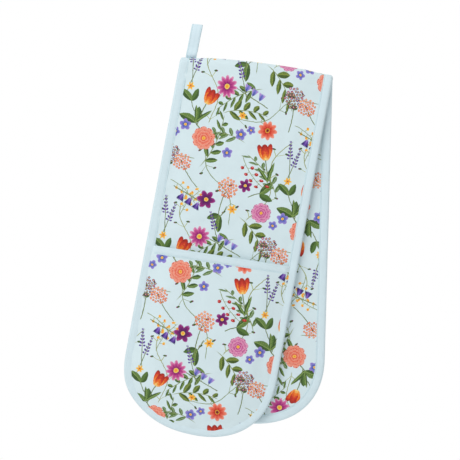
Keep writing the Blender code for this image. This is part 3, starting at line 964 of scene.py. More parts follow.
def loop_path(sizes, reach):
    """The loop's tape from its side, as (back, up) places of its middle from the swing's axis."""
    half_tape = sizes.loop_tape / 2
    close = half_tape + 0.00005
    wide = sizes.loop_gap / 2 + half_tape
    bow_centre = sizes.loop_rise - sizes.loop_gap / 2 - sizes.loop_tape
    centre = -LOOP_AXIS_HEIGHT - reach
    heading = np.radians(LEAVE_ANGLE)
    legs = []
    for layer, sign in ((1, 1), (0, -1)):
        radius = reach - FOOT_SINK + (layer + 0.5) * sizes.loop_tape
        leg = [(radius, centre - drop) for drop in np.linspace(FOOT_DROP, 0.0, 6)]
        for angle in np.radians(np.linspace(FOOT_ANGLE, LEAVE_ANGLE, 8)):
            leg.append((radius * math.sin(angle), centre + radius * math.cos(angle)))
        back, up = leg[-1]
        leg.append((back - LEAVE_STEP * math.cos(heading), up + LEAVE_STEP * math.sin(heading) + 0.0002))
        leg.append((sign * close, 0.0022))
        for share in np.linspace(0.1, 1.0, 8):
            spread = close + (wide - close) * float(ease(share, 0.0, 1.0))
            leg.append((sign * spread, sizes.loop_sewn + share * sizes.loop_flare))
        leg.append((sign * wide, (bow_centre + sizes.loop_sewn + sizes.loop_flare) / 2))
        leg.append((sign * wide, bow_centre))
        legs.append(leg)
    bow = [(wide * math.cos(a), bow_centre + wide * math.sin(a)) for a in np.linspace(0, math.pi, 13)[1:-1]]
    return np.array(legs[0] + bow + legs[1][::-1])


def smooth_line(points, step):
    """A smooth line through points, in even steps."""
    padded = np.concatenate([2 * points[:1] - points[1:2], points, 2 * points[-1:] - points[-2:-1]])
    line = []
    for a, b, c, d in zip(padded, padded[1:], padded[2:], padded[3:]):
        for t in np.linspace(0, 1, 8, endpoint=False):
            line.append(((2 * b) + (c - a) * t + (2 * a - 5 * b + 4 * c - d) * t ** 2
                         + (3 * b - a - 3 * c + d) * t ** 3) / 2)
    line.append(points[-1])
    line = np.array(line)
    run = run_along(line)
    return places_at(line, run, np.linspace(0, run[-1], max(2, round(run[-1] / step))))


def loop_section(half_width):
    """The loop tape's section: pairs of how far aside, and how high in halves of its thickness."""
    stitch = -half_width + STITCH_INSET
    front = [(half_width - 0.0001, 0.55), (half_width - 0.0006, 0.95), (half_width * 0.5, 1.06), (0.0, 1.08),
             (-half_width * 0.5, 1.04), (stitch + 0.0009, 0.98), (stitch + 0.0004, 0.80), (stitch, 0.62),
             (stitch - 0.0004, 0.80), (-half_width + 0.0005, 0.92), (-half_width, 0.5)]
    return np.array(front + [(across, -height) for across, height in front[::-1]])


def loop_surface(sizes):
    """The loop tape's places, stations by section, with its UVs, its ways out and its path."""
    rear = Half("rear", 1, sizes)
    path = smooth_line(loop_path(sizes, rear.reach), LOOP_STEP)
    way = np.gradient(path, axis=0)
    way /= np.linalg.norm(way, axis=1)[:, None]
    normal = np.stack([way[:, 1], -way[:, 0]], axis=1)
    run = run_along(path)
    section = loop_section(sizes.loop_width / 2)
    soft = 1 + 0.06 * ripple(0.009, 61, run)[:, None]
    height = section[None, :, 1] * (sizes.loop_tape / 2) * soft
    sideways = section[None, :, 0] + 0.00012 * ripple(0.02, 62, run)[:, None]
    lean = np.clip(path[:, 1], 0, None)[:, None] * math.tan(sizes.loop_lean)
    places = path[:, None, :] + normal[:, None, :] * height[..., None]
    middle = (SWING_PLACE - rear.corner) @ ALONG_FOLD
    across = (middle + sideways) * rear.lean
    inset = rear.half_width - np.abs(across)
    over_tape = (1 - ease(inset, sizes.binding_width - 0.001, sizes.binding_width + 0.0015)) * 0.00135
    on_face = 1 - ease(path[:, 1], -0.006, 0.0)[:, None]
    places[..., 0] += over_tape * on_face
    from_fold = np.clip(-LOOP_AXIS_HEIGHT - path[:, 1], 0.0, None)[:, None]
    follows = 1 - ease(path[:, 1], -0.003, 0.012)[:, None]
    level = rear.crest_lift(np.full_like(across, middle * rear.lean), from_fold)
    places[..., 1] += level + follows * (rear.crest_lift(across, from_fold) - level)
    points = (SWING_PLACE + (sideways + lean)[..., None] * ALONG_FOLD + places[..., :1] * BACK
              + places[..., 1:] * UP)
    out = normal[:, :1] * BACK + normal[:, 1:] * UP
    return points, rolled_out(section[:, 0], run), out, path


REPEAT_WIDTH = 132.0  # the print's repeat, in millimetres; each column of repeats drops by half a length
REPEAT_LENGTH = 176.0
LEAST_SHARE = 1e-6  # too little to see; it makes one motif wait for the colour under it


class Value:
    """One number in a material, which adds and multiplies as plain numbers do."""

    def __init__(self, tree, socket):
        self.tree = tree
        self.socket = socket

    def with_node(self, operation, *others):
        inputs = dict(enumerate((self, *others)))
        node = add_node(self.tree, "ShaderNodeMath", inputs, operation=operation)
        return Value(self.tree, node.outputs[0])

    __add__ = __radd__ = partialmethod(with_node, "ADD")
    __sub__ = partialmethod(with_node, "SUBTRACT")
    __rsub__ = partialmethod(with_node, "MULTIPLY_ADD", -1.0)
    __mul__ = __rmul__ = partialmethod(with_node, "MULTIPLY")
    __truediv__ = partialmethod(with_node, "DIVIDE")
    plus = partialmethod(with_node, "MULTIPLY_ADD")  # a factor, and a number that is added to the product
    size = partialmethod(with_node, "ABSOLUTE")
    power = partialmethod(with_node, "POWER")
    sine = partialmethod(with_node, "SINE")
    root = partialmethod(with_node, "SQRT")
    least = partialmethod(with_node, "MINIMUM")
    most = partialmethod(with_node, "MAXIMUM")
    angle = partialmethod(with_node, "ARCTAN2")  # of a way whose other part is given
    nearest = partialmethod(with_node, "ROUND")
    over = partialmethod(with_node, "GREATER_THAN")
    under = partialmethod(with_node, "LESS_THAN")

    def wrapped(self, reach):
        """Brought to within reach of 0 by whole turns of twice the reach."""
        return self.with_node("WRAP", reach, -reach)

    def rise(self, start, end):
        """0 at start and 1 at end, smoothly; start may be the greater."""
        node = add_node(self.tree, "ShaderNodeMapRange", {"Value": self, "From Min": start, "From Max": end},
                        interpolation_type="SMOOTHSTEP")
        return Value(self.tree, node.outputs["Result"])


def far(x, y):
    """How far a place lies from its motif's middle."""
    return (x * x + y * y).root()


def mixed(tree, share, under, over, way="MIX"):
    """One colour laid over another by a share, or multiplied into it."""
    inputs = {"Factor": share, 6: under, 7: over}
    node = add_node(tree, "ShaderNodeMix", inputs, data_type="RGBA", blend_type=way, clamp_factor=True)
    return node.outputs[2]


def graded(tree, share, stops):
    """A colour that runs through stops, each a share and its colour."""
    node = add_node(tree, "ShaderNodeValToRGB", {"Fac": share})
    elements = node.color_ramp.elements
    while len(elements) < len(stops):
        elements.new(0.5)
    for element, (place, colour) in zip(elements, stops):
        element.position = place
        element.color = (*colour, 1.0)
    return node.outputs["Color"]


def noise_at(tree, vector, scale, detail, kind="Fac"):
    """Soft noise at a place, as a number or, with kind Color, as three."""
    inputs = {"Vector": vector, "Scale": scale, "Detail": detail}
    return Value(tree, add_node(tree, "ShaderNodeTexNoise", inputs, noise_dimensions="3D").outputs[kind])


def in_parts(tree, value, kind="XYZ"):
    """The three numbers of a vector or, with kind Color, those of a colour."""
    return [Value(tree, output) for output in add_node(tree, "ShaderNodeSeparate" + kind, {0: value}).outputs]


# A leaf's outline and tones: how blunt and full it is, its veins' pitch and depth of tone, how much lighter
# one side is and the other's tone, where its midrib's light ends and is full and how strong it is, and how
# soft its edge is
LEAF = (0.8, 1.5, 2.6, 0.10, (0.34, 0.26), (0.45, 0.15), 0.5, 0.3)
LEAFLET = (0.75, 1.4, 3.0, 0.08, (0.36, 0.25), (0.35, 0.1), 0.4, 0.25)
SPRIG_LEAN = math.radians(48.0)  # of a sprig's leaves to its stem


class Motif:
    """A motif of the print: a group of nodes that lays it over a colour, once in each repeat."""

    def __init__(self, name, inks):
        labels = ("Across", "Along", "Grain", "Place Across", "Place Along", "Turn", "Grow")
        inputs = [("Under", "Color")] + [(label, "Float") for label in labels]
        self.tree = new_group(name, "ShaderNodeTree", inputs, ("Printed", "Color"))
        self.inks = inks
        given = self.tree.nodes.new("NodeGroupInput").outputs
        self.colour = given["Under"]
        numbers = [Value(self.tree, given[label]) for label in labels]
        across, along, self.grain, place_across, place_along, turn, grow = numbers
        off = across - place_across
        side = off.wrapped(REPEAT_WIDTH / 2)
        drop = (off - side) * (REPEAT_LENGTH / REPEAT_WIDTH / 2)
        rise = (along - place_along - drop).wrapped(REPEAT_LENGTH / 2)
        lean = turn.sine() / grow
        stand = (turn + math.pi / 2).sine() / grow
        self.x = side * stand + rise * lean
        self.y = rise * stand - side * lean

    def done(self):
        add_node(self.tree, "NodeGroupOutput", {"Printed": self.colour})
        return self.tree

    def ink(self, name):
        return tuple(getattr(self.inks, name))

    def lay(self, share, name):
        self.colour = mixed(self.tree, share, self.colour, self.ink(name))

    def lay_graded(self, share, tone, *stops):
        """Lays a motif whose tone runs through inks, mottled as water colour is."""
        colours = [(place, self.ink(name)) for place, name in stops]
        self.colour = mixed(self.tree, share, self.colour,
                            graded(self.tree, self.grain.plus(0.55, tone), colours))

    def repeated(self, run, pitch):
        """How far a place lies beside the middle of its own repeat along a run, and that repeat's number."""
        place = (run - pitch / 2).wrapped(pitch / 2)
        return place, (run - place) / pitch

    def stem(self, x, y, start, end, bend, thick=0.45):
        """A curved stem along y from start to end."""
        aside = (y * y).plus(-bend, x)
        inside = y.rise(start - 0.4, start + 0.4) * y.rise(end + 0.4, end - 0.4)
        self.lay_graded(aside.size().rise(thick + 0.2, thick - 0.1) * inside, aside.plus(0.8, 0.45),
                        (0.1, "leaf_dark"), (0.6, "stem"), (0.95, "leaf_light"))

    def blade(self, along, aside, length, width, make):
        """The share and tone of a pointed leaf from 0 to a length along, with a midrib and veins."""
        blunt, full, pitch, veins, (lighter, other), rib_ends, rib, soft = make
        share = along / length
        depth = (share * (1.0 - share)).most(0.0).power(blunt) * (width * full) - aside.size()
        vein = (aside.size().plus(-1.2, along) * pitch).sine()
        tone = vein.plus(veins, aside.over(0.0).plus(lighter, other))
        return depth.rise(-0.05, soft), tone + aside.size().rise(*rib_ends) * rib

    def leaf(self, x, y, length, width, bend=0.0, light="leaf_light", dark="leaf_dark"):
        """A leaf along x."""
        share, tone = self.blade(x, (x * x).plus(-bend, y), length, width, LEAF)
        self.lay_graded(share, tone, (0.0, dark), (0.5, "leaf"), (1.0, light))

    def tulip(self):
        x, y = self.x, self.y
        self.stem(x, y, -26.0, 1.0, 0.006, 0.5)
        self.leaf(x * 0.30 + y * 0.95 + 24.0, x * 0.95 - y * 0.30 - 7.5, 24.0, 4.6, 0.004)
        self.leaf(x * -0.40 + y * 0.92 + 22.0, x * 0.92 + y * 0.40 + 9.0, 19.0, 4.2, -0.006)
        side = x.size()
        lift = y - 8.0
        heart = (x / 4.3).power(2.0) + (lift / 8.6).power(2.0)
        lean_across = side.plus(0.95, lift * -0.31)
        lean_along = side.plus(0.31, lift * 0.95)
        wing = ((lean_across - 3.7) / 3.3).power(2.0) + ((lean_along - 1.2) / 9.0).power(2.0)
        self.lay_graded(wing.rise(1.06, 0.92), lift.plus(0.045, 0.30) + wing * 0.25, *FIRE)
        self.lay_graded(heart.rise(1.05, 0.9), lift.plus(0.05, 0.42) + side * 0.06, *FIRE)

    def broad_leaves(self):
        """Two broad dark leaves on a short stem."""
        x, y = self.x, self.y
        self.stem(x, y, -14.0, 1.0, 0.010, 0.5)
        self.leaf(x * 0.80 + y * 0.60, y * 0.80 - x * 0.60, 17.0, 8.5, 0.012, "leaf")
        self.leaf(y * 0.94 - x * 0.34, x * 0.94 + y * 0.34, 20.0, 9.5, -0.010)

    def rosette(self, reach, stops, eye):
        """A full flower of three tiers of scalloped petals."""
        turn = self.y.angle(self.x)
        out = far(self.x, self.y)
        tiers = []
        for count, share, start in ((9, 1.0, 0.0), (7, 0.70, 0.7), (5, 0.40, 1.9)):
            scallop = turn.plus(count / 2, start).sine().size().power(0.55)
            tiers.append(out / scallop.plus(0.16 * share * reach, 0.86 * share * reach))
        tone = tiers[0] + tiers[1].under(1.0) * (tiers[1] - tiers[0])
        tone = tone + tiers[2].under(1.0) * (tiers[2] - tone)
        streak = (turn * 26.0).sine() * 0.05
        self.lay_graded(tiers[0].rise(1.0, 0.98), tone + streak, *stops)
        self.lay_graded(out.rise(0.17 * reach, 0.13 * reach), out / (0.17 * reach), *eye)

    def daisy(self, count, reach, width, stops, eye, eye_share=0.24):
        """A flower of narrow petals round an eye."""
        turn = self.y.angle(self.x).wrapped(math.pi / count)
        out = far(self.x, self.y)
        across = turn * out / width
        along = (out - 0.60 * reach) / (0.42 * reach)
        depth = across * across + along * along
        tone = (along + across.size() * 0.6) * 0.4 + 0.45
        self.lay_graded(depth.rise(1.05, 0.9), tone, *stops)
        eye_reach = eye_share * reach
        self.lay_graded(out.rise(eye_reach + 0.2, eye_reach - 0.2), out / eye_reach, *eye)

    def hanging_bells(self, stops, pitch=9.5, count=3):
        """A row of bells hanging on one side of a stem that runs along x."""
        x, y = self.x, self.y
        self.stem(y, x, -8.0, 34.0, 0.0)
        place, number = self.repeated(x, pitch)
        kept = number.over(0.2) * number.under(count + 0.2)
        drop = (y + 1.8) * -1.0
        flare = drop.rise(0.0, 8.0).plus(2.5, 1.5) * drop.rise(-0.2, 1.6)
        rim = (place * 2.1).sine().size().plus(1.1, 7.4)
        depth = (flare - place.size()).least(rim - drop)
        self.lay_graded(depth.rise(-0.1, 0.35) * kept, (place / 4.0).size() + drop * 0.06, *stops)
        thread = place.size().rise(0.5, 0.2) * y.rise(-2.4, -1.6) * y.rise(0.6, 0.0)
        self.lay(thread * kept, "stem")

    def round_head(self, reach, bend, stops, pitch=3.3):
        """A round head of tiny starry flowers on a stem, in rows that lie between each other."""
        x, y, tree = self.x, self.y, self.tree
        self.stem(x, y, -34.0, -6.0, bend)
        rows = pitch * 0.87
        row = (y / rows).nearest()
        shift = ((row + 0.5) * math.pi).sine() * (pitch / 4)
        column = ((x - shift) / pitch).nearest()
        cell = {"W": row.plus(31.0, column)}
        chance = add_node(tree, "ShaderNodeTexWhiteNoise", cell, noise_dimensions="1D")
        first, second, third = in_parts(tree, chance.outputs["Color"], "Color")
        cell_x = column.plus(pitch, shift) + (first - 0.5) * (0.32 * pitch)
        cell_y = row.plus(rows, (second - 0.5) * (0.32 * pitch))
        off_x, off_y = x - cell_x, y - cell_y
        near = far(off_x, off_y)
        lobes = (off_y.angle(off_x) + first * 6.0) * 5.0
        depth = lobes.sine().plus(0.085 * pitch, (third * 0.12 + 0.37) * pitch) - near
        kept = far(cell_x, cell_y).under(reach)
        tone = third.plus(0.5, near * (-0.35 / pitch)) + cell_y.plus(0.25 / reach, 0.32)
        self.lay_graded(depth.rise(0.0, 0.2) * kept, tone, *stops)
        self.lay(near.rise(0.62, 0.35) * kept, "butter")

    def both_sides(self, x, aside, pitch):
        """How far along each side of a stem a place lies in its repeat, and the repeat's number."""
        return self.repeated(x - aside.over(0.0) * (pitch / 2), pitch)

    def sprig(self, pitch, count, length, width, bend, light="leaf_light", dark="leaf_dark"):
        """Leaves along both sides of a curved stem, smaller towards its tip."""
        x, y = self.x, self.y
        aside = (x * x).plus(-bend, y)
        stem = aside.size().rise(0.55, 0.25) * x.rise(-pitch, 0.0)
        self.lay(stem * x.rise(pitch * count, pitch * count - 2.0), "stem")
        place, number = self.both_sides(x, aside, pitch)
        kept = number.over(0.2) * number.under(count - 0.3)
        grow = number.plus(-0.45 / count, 1.0)
        out = aside.size()
        place = place + pitch / 2
        leaf_along = (place * math.cos(SPRIG_LEAN) + out * math.sin(SPRIG_LEAN)) / grow
        leaf_aside = (out * math.cos(SPRIG_LEAN) - place * math.sin(SPRIG_LEAN)) / grow
        share, tone = self.blade(leaf_along, leaf_aside, length, width, LEAFLET)
        self.lay_graded(share * kept, tone, (0.0, dark), (0.5, "leaf"), (1.0, light))

    def berries(self, pitch, count, reach, stand, bend, stops):
        """Berries on short stalks, on one side and the other of a curved stem."""
        x, y = self.x, self.y
        aside = (x * x).plus(-bend, y)
        stem = aside.size().rise(0.5, 0.2) * x.rise(-6.0, -4.0)
        self.lay(stem * x.rise(pitch * (count + 0.5), pitch * count), "stem")
        place, number = self.both_sides(x, aside, pitch)
        kept = number.over(-0.3) * number.under(count + 0.2)
        out = aside.size()
        stalk = out.plus(-0.35, place).size().rise(0.4, 0.15) * out.rise(stand, stand - 0.6)
        self.lay(stalk * kept, "stem")
        ball_x, ball_y = place - stand * 0.35, out - stand
        near = far(ball_x, ball_y)
        shine = far(ball_x + 0.3 * reach, ball_y - 0.3 * reach) / (reach * 1.4)
        self.lay_graded(near.rise(reach + 0.1, reach - 0.2) * kept, shine, *stops)

    def spike(self, pitch, length, reach, stops):
        """A spike of small blossoms in tiers along y, narrowing to its tip."""
        x, y = self.x, self.y
        self.stem(x, y, -22.0, 16.0, 0.0, 0.35)
        taper = (y / length).plus(-0.75, 1.0)
        place = y.wrapped(pitch / 2)
        side = x.size() / taper
        across = (side * 0.8 + place * 0.6 - 0.62 * reach) / (0.62 * reach)
        along = (place * 0.8 - side * 0.6 + 0.25 * reach) / (0.34 * reach)
        depth = across.power(2.0) + along.power(2.0)
        kept = y.rise(-0.2, 0.4) * y.rise(length, length - 1.0)
        self.lay_graded(depth.rise(1.1, 0.8) * kept, side.plus(0.16, 0.2) + place * 0.15, *stops)

    def trail(self, ink, dark):
        """A long thin stem in slow curves, with buds on twigs along it."""
        x, y = self.x, self.y
        aside = (x * 0.075).sine().plus(-7.0, y) + x * 0.05
        inside = x.rise(-56.0, -52.0) * x.rise(52.0, 48.0)
        self.lay_graded(aside.size().rise(0.62, 0.3) * inside, aside.plus(0.8, 0.45), (0.0, dark), (0.6, ink),
                        (1.0, "leaf_pale"))
        side = (x - 6.0).wrapped(13.0)
        number = (x - side) / 13.0
        twig = (aside.size().plus(-0.8, side) + 4.0).size().rise(0.5, 0.2) * aside.size().rise(7.4, 6.6)
        kept = inside * number.size().under(3.6)
        self.lay(twig * kept, ink)
        bud_along = aside.size() - 8.4
        bud_across = side - 2.7
        bud = (bud_across / 1.25).power(2.0) + (bud_along / 2.4).power(2.0)
        self.lay_graded(bud.rise(1.1, 0.8) * kept, bud_along.plus(0.2, 0.45), (0.0, "leaf_dark"),
                        (0.45, "leaf"), (0.7, "wine"), (1.0, "pink"))


CORAL = ((0.0, "rust"), (0.25, "vermilion"), (0.62, "coral"), (0.93, "salmon"), (1.0, "vermilion"))
ROSE = ((0.0, "wine"), (0.25, "magenta"), (0.62, "pink"), (0.93, "blush"), (1.0, "magenta"))
FIRE = ((0.0, "butter"), (0.28, "orange"), (0.55, "vermilion"), (1.0, "rust"))
VIOLET = ((0.0, "lilac"), (0.45, "violet"), (1.0, "indigo"))
PLUM = ((0.0, "wine"), (0.4, "plum"), (0.75, "magenta"), (1.0, "lilac"))
SKY = ((0.0, "indigo"), (0.45, "sky"), (1.0, "lilac"))
GOLD = ((0.0, "orange"), (0.6, "yolk"), (1.0, "butter"))
DARK_EYE = ((0.0, "wine"), (0.5, "rust"), (1.0, "yolk"))
BERRY = ((0.0, "blush"), (0.25, "vermilion"), (1.0, "rust"))

# The print's motifs from those behind to those in front: a name, what draws it and with which sizes in
# millimetres, and its places in the repeat, each across, along, its turn in degrees and its growth
MOTIFS = (
    ("sage_trail", Motif.trail, ("stem", "leaf"), ((-20, 30, -58, 1.0), (34, -52, 28, 0.95))),
    ("olive_trail", Motif.trail, ("leaf_yellow", "olive"), ((40, 44, 78, 1.0), (-48, -30, 104, 0.9))),
    ("green_sprig", Motif.sprig, (9.0, 5, 13.0, 5.0, 0.006), ((-40, 52, 62, 1.25), (4, -34, 200, 1.1))),
    ("olive_sprig", Motif.sprig, (10.0, 4, 15.0, 6.2, -0.008, "leaf_yellow", "olive"),
     ((20, -10, -35, 1.2), (-22, -62, 20, 1.1))),
    ("pale_sprig", Motif.sprig, (8.0, 5, 11.0, 4.0, 0.010, "leaf_pale", "leaf"),
     ((48, 30, 115, 1.3), (-4, 84, 160, 1.2))),
    ("broad_leaves", Motif.broad_leaves, (),
     ((-58, -82, 40, 1.1), (30, 26, -70, 1.0), (-10, -8, 150, 0.95), (64, 30, 20, 0.9))),
    ("red_berries", Motif.berries, (8.0, 4, 1.9, 4.6, 0.008, BERRY), ((6, 60, -60, 1.1),)),
    ("yellow_berries", Motif.berries, (7.0, 4, 1.6, 4.2, -0.010, GOLD),
     ((-56, -12, 75, 1.1), (62, -66, -20, 1.1))),
    ("tulip", Motif.tulip, (), ((30, 66, 14, 1.1), (-50, -58, -22, 1.05))),
    ("purple_head", Motif.round_head, (10.5, -0.005, PLUM), ((50, -34, 10, 1.15),)),
    ("coral_head", Motif.round_head, (10.0, 0.006, CORAL), ((-8, 26, -18, 1.15), (-66, 46, 30, 1.0))),
    ("violet_bells", Motif.hanging_bells, (VIOLET,), ((-62, 14, -20, 1.1),)),
    ("blue_bells", Motif.hanging_bells, (SKY,), ((14, -48, 160, 1.0),)),
    ("violet_spike", Motif.spike, (3.4, 19.0, 2.9, VIOLET),
     ((58, 72, 8, 1.15), (63, 64, -14, 1.15), (-14, -24, 24, 1.15))),
    ("coral_rosette", Motif.rosette, (13.5, CORAL, GOLD), ((-46, 78, 0, 1.0),)),
    ("rose_rosette", Motif.rosette, (12.0, ROSE, GOLD), ((36, 4, 40, 0.98),)),
    ("pink_daisy", Motif.daisy, (11, 11.5, 2.3, ROSE, GOLD), ((-30, -36, 0, 1.05),)),
    ("coral_daisy", Motif.daisy, (9, 11.0, 2.9, CORAL, DARK_EYE), ((26, -76, 0, 1.02),)),
    ("plum_flower", Motif.daisy, (6, 9.5, 2.9, PLUM, GOLD, 0.22), ((-30, 8, 0, 1.15), (12, 32, 24, 0.85))),
    ("blue_flower", Motif.daisy, (5, 5.2, 2.2, SKY, GOLD, 0.24),
     ((62, 2, 25, 1.3), (52, -8, 0, 1.05), (-4, -86, 15, 1.3), (7, -79, 50, 1.0), (-16, 66, 30, 1.2))),
    ("gold_star", Motif.daisy, (6, 4.6, 1.2, GOLD, DARK_EYE, 0.2),
     ((2, 2, 10, 1.2), (60, 46, 0, 1.0), (-6, -64, 20, 1.0))),
)


def printed(tree, inks, flat, ground):
    """The print over the cloth's ground, its outlines a little shaken as a brush leaves them."""
    shake = in_parts(tree, noise_at(tree, flat, 230.0, 3.0, "Color"), "Color")
    places = in_parts(tree, flat)
    across, along = [(shake[k] - 0.5).plus(1.5, places[k] * 1000.0) for k in range(2)]
    grain = noise_at(tree, flat, 520.0, 4.0) - 0.5
    colour = ground
    for name, draw, make, spots in MOTIFS:
        motif = Motif(name, inks)
        draw(motif, *make)
        group = motif.done()
        for place_across, place_along, turn, grow in spots:
            waiting = in_parts(tree, colour, "Color")[0].plus(LEAST_SHARE, across)
            inputs = {"Under": colour, "Across": waiting, "Along": along, "Grain": grain,
                      "Place Across": float(place_across), "Place Along": float(place_along),
                      "Turn": math.radians(turn), "Grow": grow}
            node = add_node(tree, "ShaderNodeGroup", inputs, node_tree=group)
            colour = node.outputs["Printed"]
    return colour


# painted shade of the weave: the next two colours are mixed or multiplied into the cloth's colour along its
# threads
SHADE = (0.42, 0.52, 0.56)  # between the threads of a weave
WEAVE_GAP_SHADE = (0.65, 0.68, 0.70)  # what the gaps between the threads leave of the print's colours
# painted shade: the colour laid in a tape's creases, at its folded edge and where it turns round its rim
CREASE_SHADE = (0.40, 0.60, 0.64)  # in a tape's creases


class Finish:
    """A new material, and the coordinates its pattern follows: the flat cloth, or the object's own."""

    def __init__(self, name, shading, on_cloth=True):
        self.material = bpy.data.materials.new(name)
        self.material.use_nodes = True
        self.tree = self.material.node_tree
        self.shader = give_all(self.tree, self.tree.nodes["Principled BSDF"], shading)
        if on_cloth:
            self.place = self.tree.nodes.new("ShaderNodeUVMap").outputs["UV"]
        else:
            self.place = self.tree.nodes.new("ShaderNodeTexCoord").outputs["Object"]

    def noise(self, scale, detail):
        return noise_at(self.tree, self.place, scale, detail)

    def patchy(self, ground, darker, patches, share):
        """A colour that goes darker, to a share of itself, in patches."""
        tone = tuple(channel * darker for channel in ground)
        return mixed(self.tree, patches.rise(0.3, 0.7) * share, tuple(ground), tone)

    def bumps(self, height, strength, distance):
        inputs = {"Strength": strength, "Distance": distance, "Height": height}
        bump = add_node(self.tree, "ShaderNodeBump", inputs)
        give(self.tree, self.shader.inputs["Normal"], bump.outputs["Normal"])

    def weave(self, pitch, turn=0.0):
        """Bumps of a plain weave with the uneven thickness of its yarns; gives how high its threads lie."""
        u, v = in_parts(self.tree, self.place)[:2]
        lean, stand = math.sin(turn), math.cos(turn)
        warp = (u * stand + v * lean) * (math.pi / pitch)
        weft = (v * stand - u * lean) * (math.pi / pitch)
        threads = warp.sine().size() + weft.sine().size()
        self.bumps(threads.plus(0.5, self.noise(900.0, 3.0) * 0.8), 0.5, 0.00012)
        return threads

    def woven(self, threads, share, under, over, way="MIX"):
        """The colour under a weave, with painted weave shade laid where its threads lie high."""
        return self.painted(mixed(self.tree, threads.rise(0.4, 1.6) * share, under, over, way))

    def painted(self, colour):
        give(self.tree, self.shader.inputs["Base Color"], colour)
        return self.material


def cloth_finish(name, roughness, sheen, on_cloth=True):
    """The finish of a cloth or its fibres, which is dull and has a soft sheen."""
    shading = {"Roughness": roughness, "Sheen Weight": sheen, "Sheen Roughness": 0.6,
               "Specular IOR Level": 0.25}
    return Finish(name, shading, on_cloth)


def printed_material(colours, inks):
    """The printed cotton of the strip and the pockets."""
    cotton = cloth_finish("printed_cotton", 0.85, 0.12)
    start = cotton.patchy(colours.ground, 0.965, cotton.noise(22.0, 3.0), 0.5)
    picture = printed(cotton.tree, inks, cotton.place, start)
    return cotton.woven(cotton.weave(0.00055), 0.12, picture, WEAVE_GAP_SHADE, "MULTIPLY")


def plain_cotton_material(colours):
    """The unprinted cotton inside the pockets."""
    cotton = cloth_finish("plain_cotton", 0.9, 0.15)
    start = cotton.patchy(colours.plain, 0.955, cotton.noise(26.0, 3.0), 0.5)
    return cotton.woven(cotton.weave(0.00060), 0.14, start, SHADE)


def tape_material(name, ground, edge):
    """Cotton tape, woven on the slant, with shade painted in its stitch groove, at its folded edge and where
    it turns round.
    """
    tape = cloth_finish(name, 0.88, 0.15)
    away = in_parts(tape.tree, tape.place)[0].size()
    # painted shade: a darker colour laid in patches in the stitch groove, along the folded edge and where
    # away is near 0, round an edge tape's rim
    shade_patches = tape.noise(210.0, 3.0)
    groove = (away - (edge - STITCH_INSET)).size().rise(0.0008, 0.0001) * shade_patches.rise(0.3, 0.6)
    fold = away.rise(edge - 0.0011, edge - 0.0001) * shade_patches.rise(0.2, 0.5)
    turned = away.rise(edge * 0.22, 0.0) * shade_patches.rise(0.1, 0.6)
    colour = tape.patchy(ground, 0.95, tape.noise(60.0, 4.0), 0.6)
    for share in (groove * 0.35, fold * 0.60, turned * 0.16):
        colour = mixed(tape.tree, share, colour, CREASE_SHADE)
    return tape.woven(tape.weave(0.00050, math.radians(45)), 0.12, colour, SHADE)


def thread_material(colours):
    """Twisted sewing thread."""
    thread = cloth_finish("sewing_thread", 0.7, 0.2, on_cloth=False)
    x, y, z = in_parts(thread.tree, thread.place)
    twist = ((x + y + z) * 9000.0).sine()
    thread.bumps(twist * 0.5, 0.4, 0.0001)
    return thread.painted(thread.patchy(colours.thread, 0.9, thread.noise(400.0, 2.0), 0.6))


def wadding_material(colours):
    """Matted fibre, uneven in colour and surface."""
    fibre = cloth_finish("wadding_fibre", 0.95, 0.3, on_cloth=False)
    soft = fibre.noise(90.0, 5.0)
    fibre.bumps(fibre.noise(900.0, 4.0) + soft, 0.7, 0.0005)
    return fibre.painted(fibre.patchy(colours.wadding, 0.88, soft, 1.0))


class GLOVE_OT_strip(bpy.types.Operator):
    """Make the strip's cloths and wadding"""

    bl_idname = "glove.strip"
    bl_label = "Make Strip"

    def execute(self, context):
        sizes, colours = context.scene.glove_sizes, context.scene.glove_colours
        cotton = printed_material(colours, context.scene.print_inks)
        filling = wadding_material(colours)
        for half in halves(sizes):
            wadding = strip_wadding(half, filling)
            follow_fold(wadding)
            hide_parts(half.name + "_wadding", "fold_wadding")
            for outer, node in ((True, "outer_cloth"), (False, "lining_cloth")):
                cloth = strip_cloth(half, outer, cotton)
                follow_fold(cloth)
                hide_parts(half.name + "_" + node, "fold_" + node)
        return {"FINISHED"}


class GLOVE_OT_pockets(bpy.types.Operator):
    """Make the pockets' cloths, wadding and mouth tapes"""

    bl_idname = "glove.pockets"
    bl_label = "Make Pockets"

    def execute(self, context):
        sizes, colours = context.scene.glove_sizes, context.scene.glove_colours
        cotton = bpy.data.materials["printed_cotton"]
        filling = bpy.data.materials["wadding_fibre"]
        plain = plain_cotton_material(colours)
        tape_material("binding_cotton", colours.binding, sizes.binding_width)
        tape = tape_material("mouth_binding_cotton", colours.binding, sizes.mouth_binding_width)
        for half in halves(sizes):
            made = (
                (pocket_cloth(half, True, cotton), "outer_cloth", "printed_cloth"),
                (pocket_wadding(half, filling), "wadding", "wadding"),
                (pocket_cloth(half, False, plain), "lining_cloth", "pocket_lining"),
                (mouth_tape(half, tape), "mouth_binding", "binding_tape"),
            )
            for whole, node, slot in made:
                for piece in in_two(whole, half):
                    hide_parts(half.name + "_pocket_" + node)
        return {"FINISHED"}


class GLOVE_OT_edge_tapes(bpy.types.Operator):
    """Make the tape round the strip's edge"""

    bl_idname = "glove.edge_tapes"
    bl_label = "Make Edge Tapes"

    def execute(self, context):
        for half in halves(context.scene.glove_sizes):
            tape = edge_tape(half, bpy.data.materials["binding_cotton"])
            follow_fold(tape)
            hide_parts(half.name + "_binding", "fold_binding_left", "fold_binding_right")
        return {"FINISHED"}


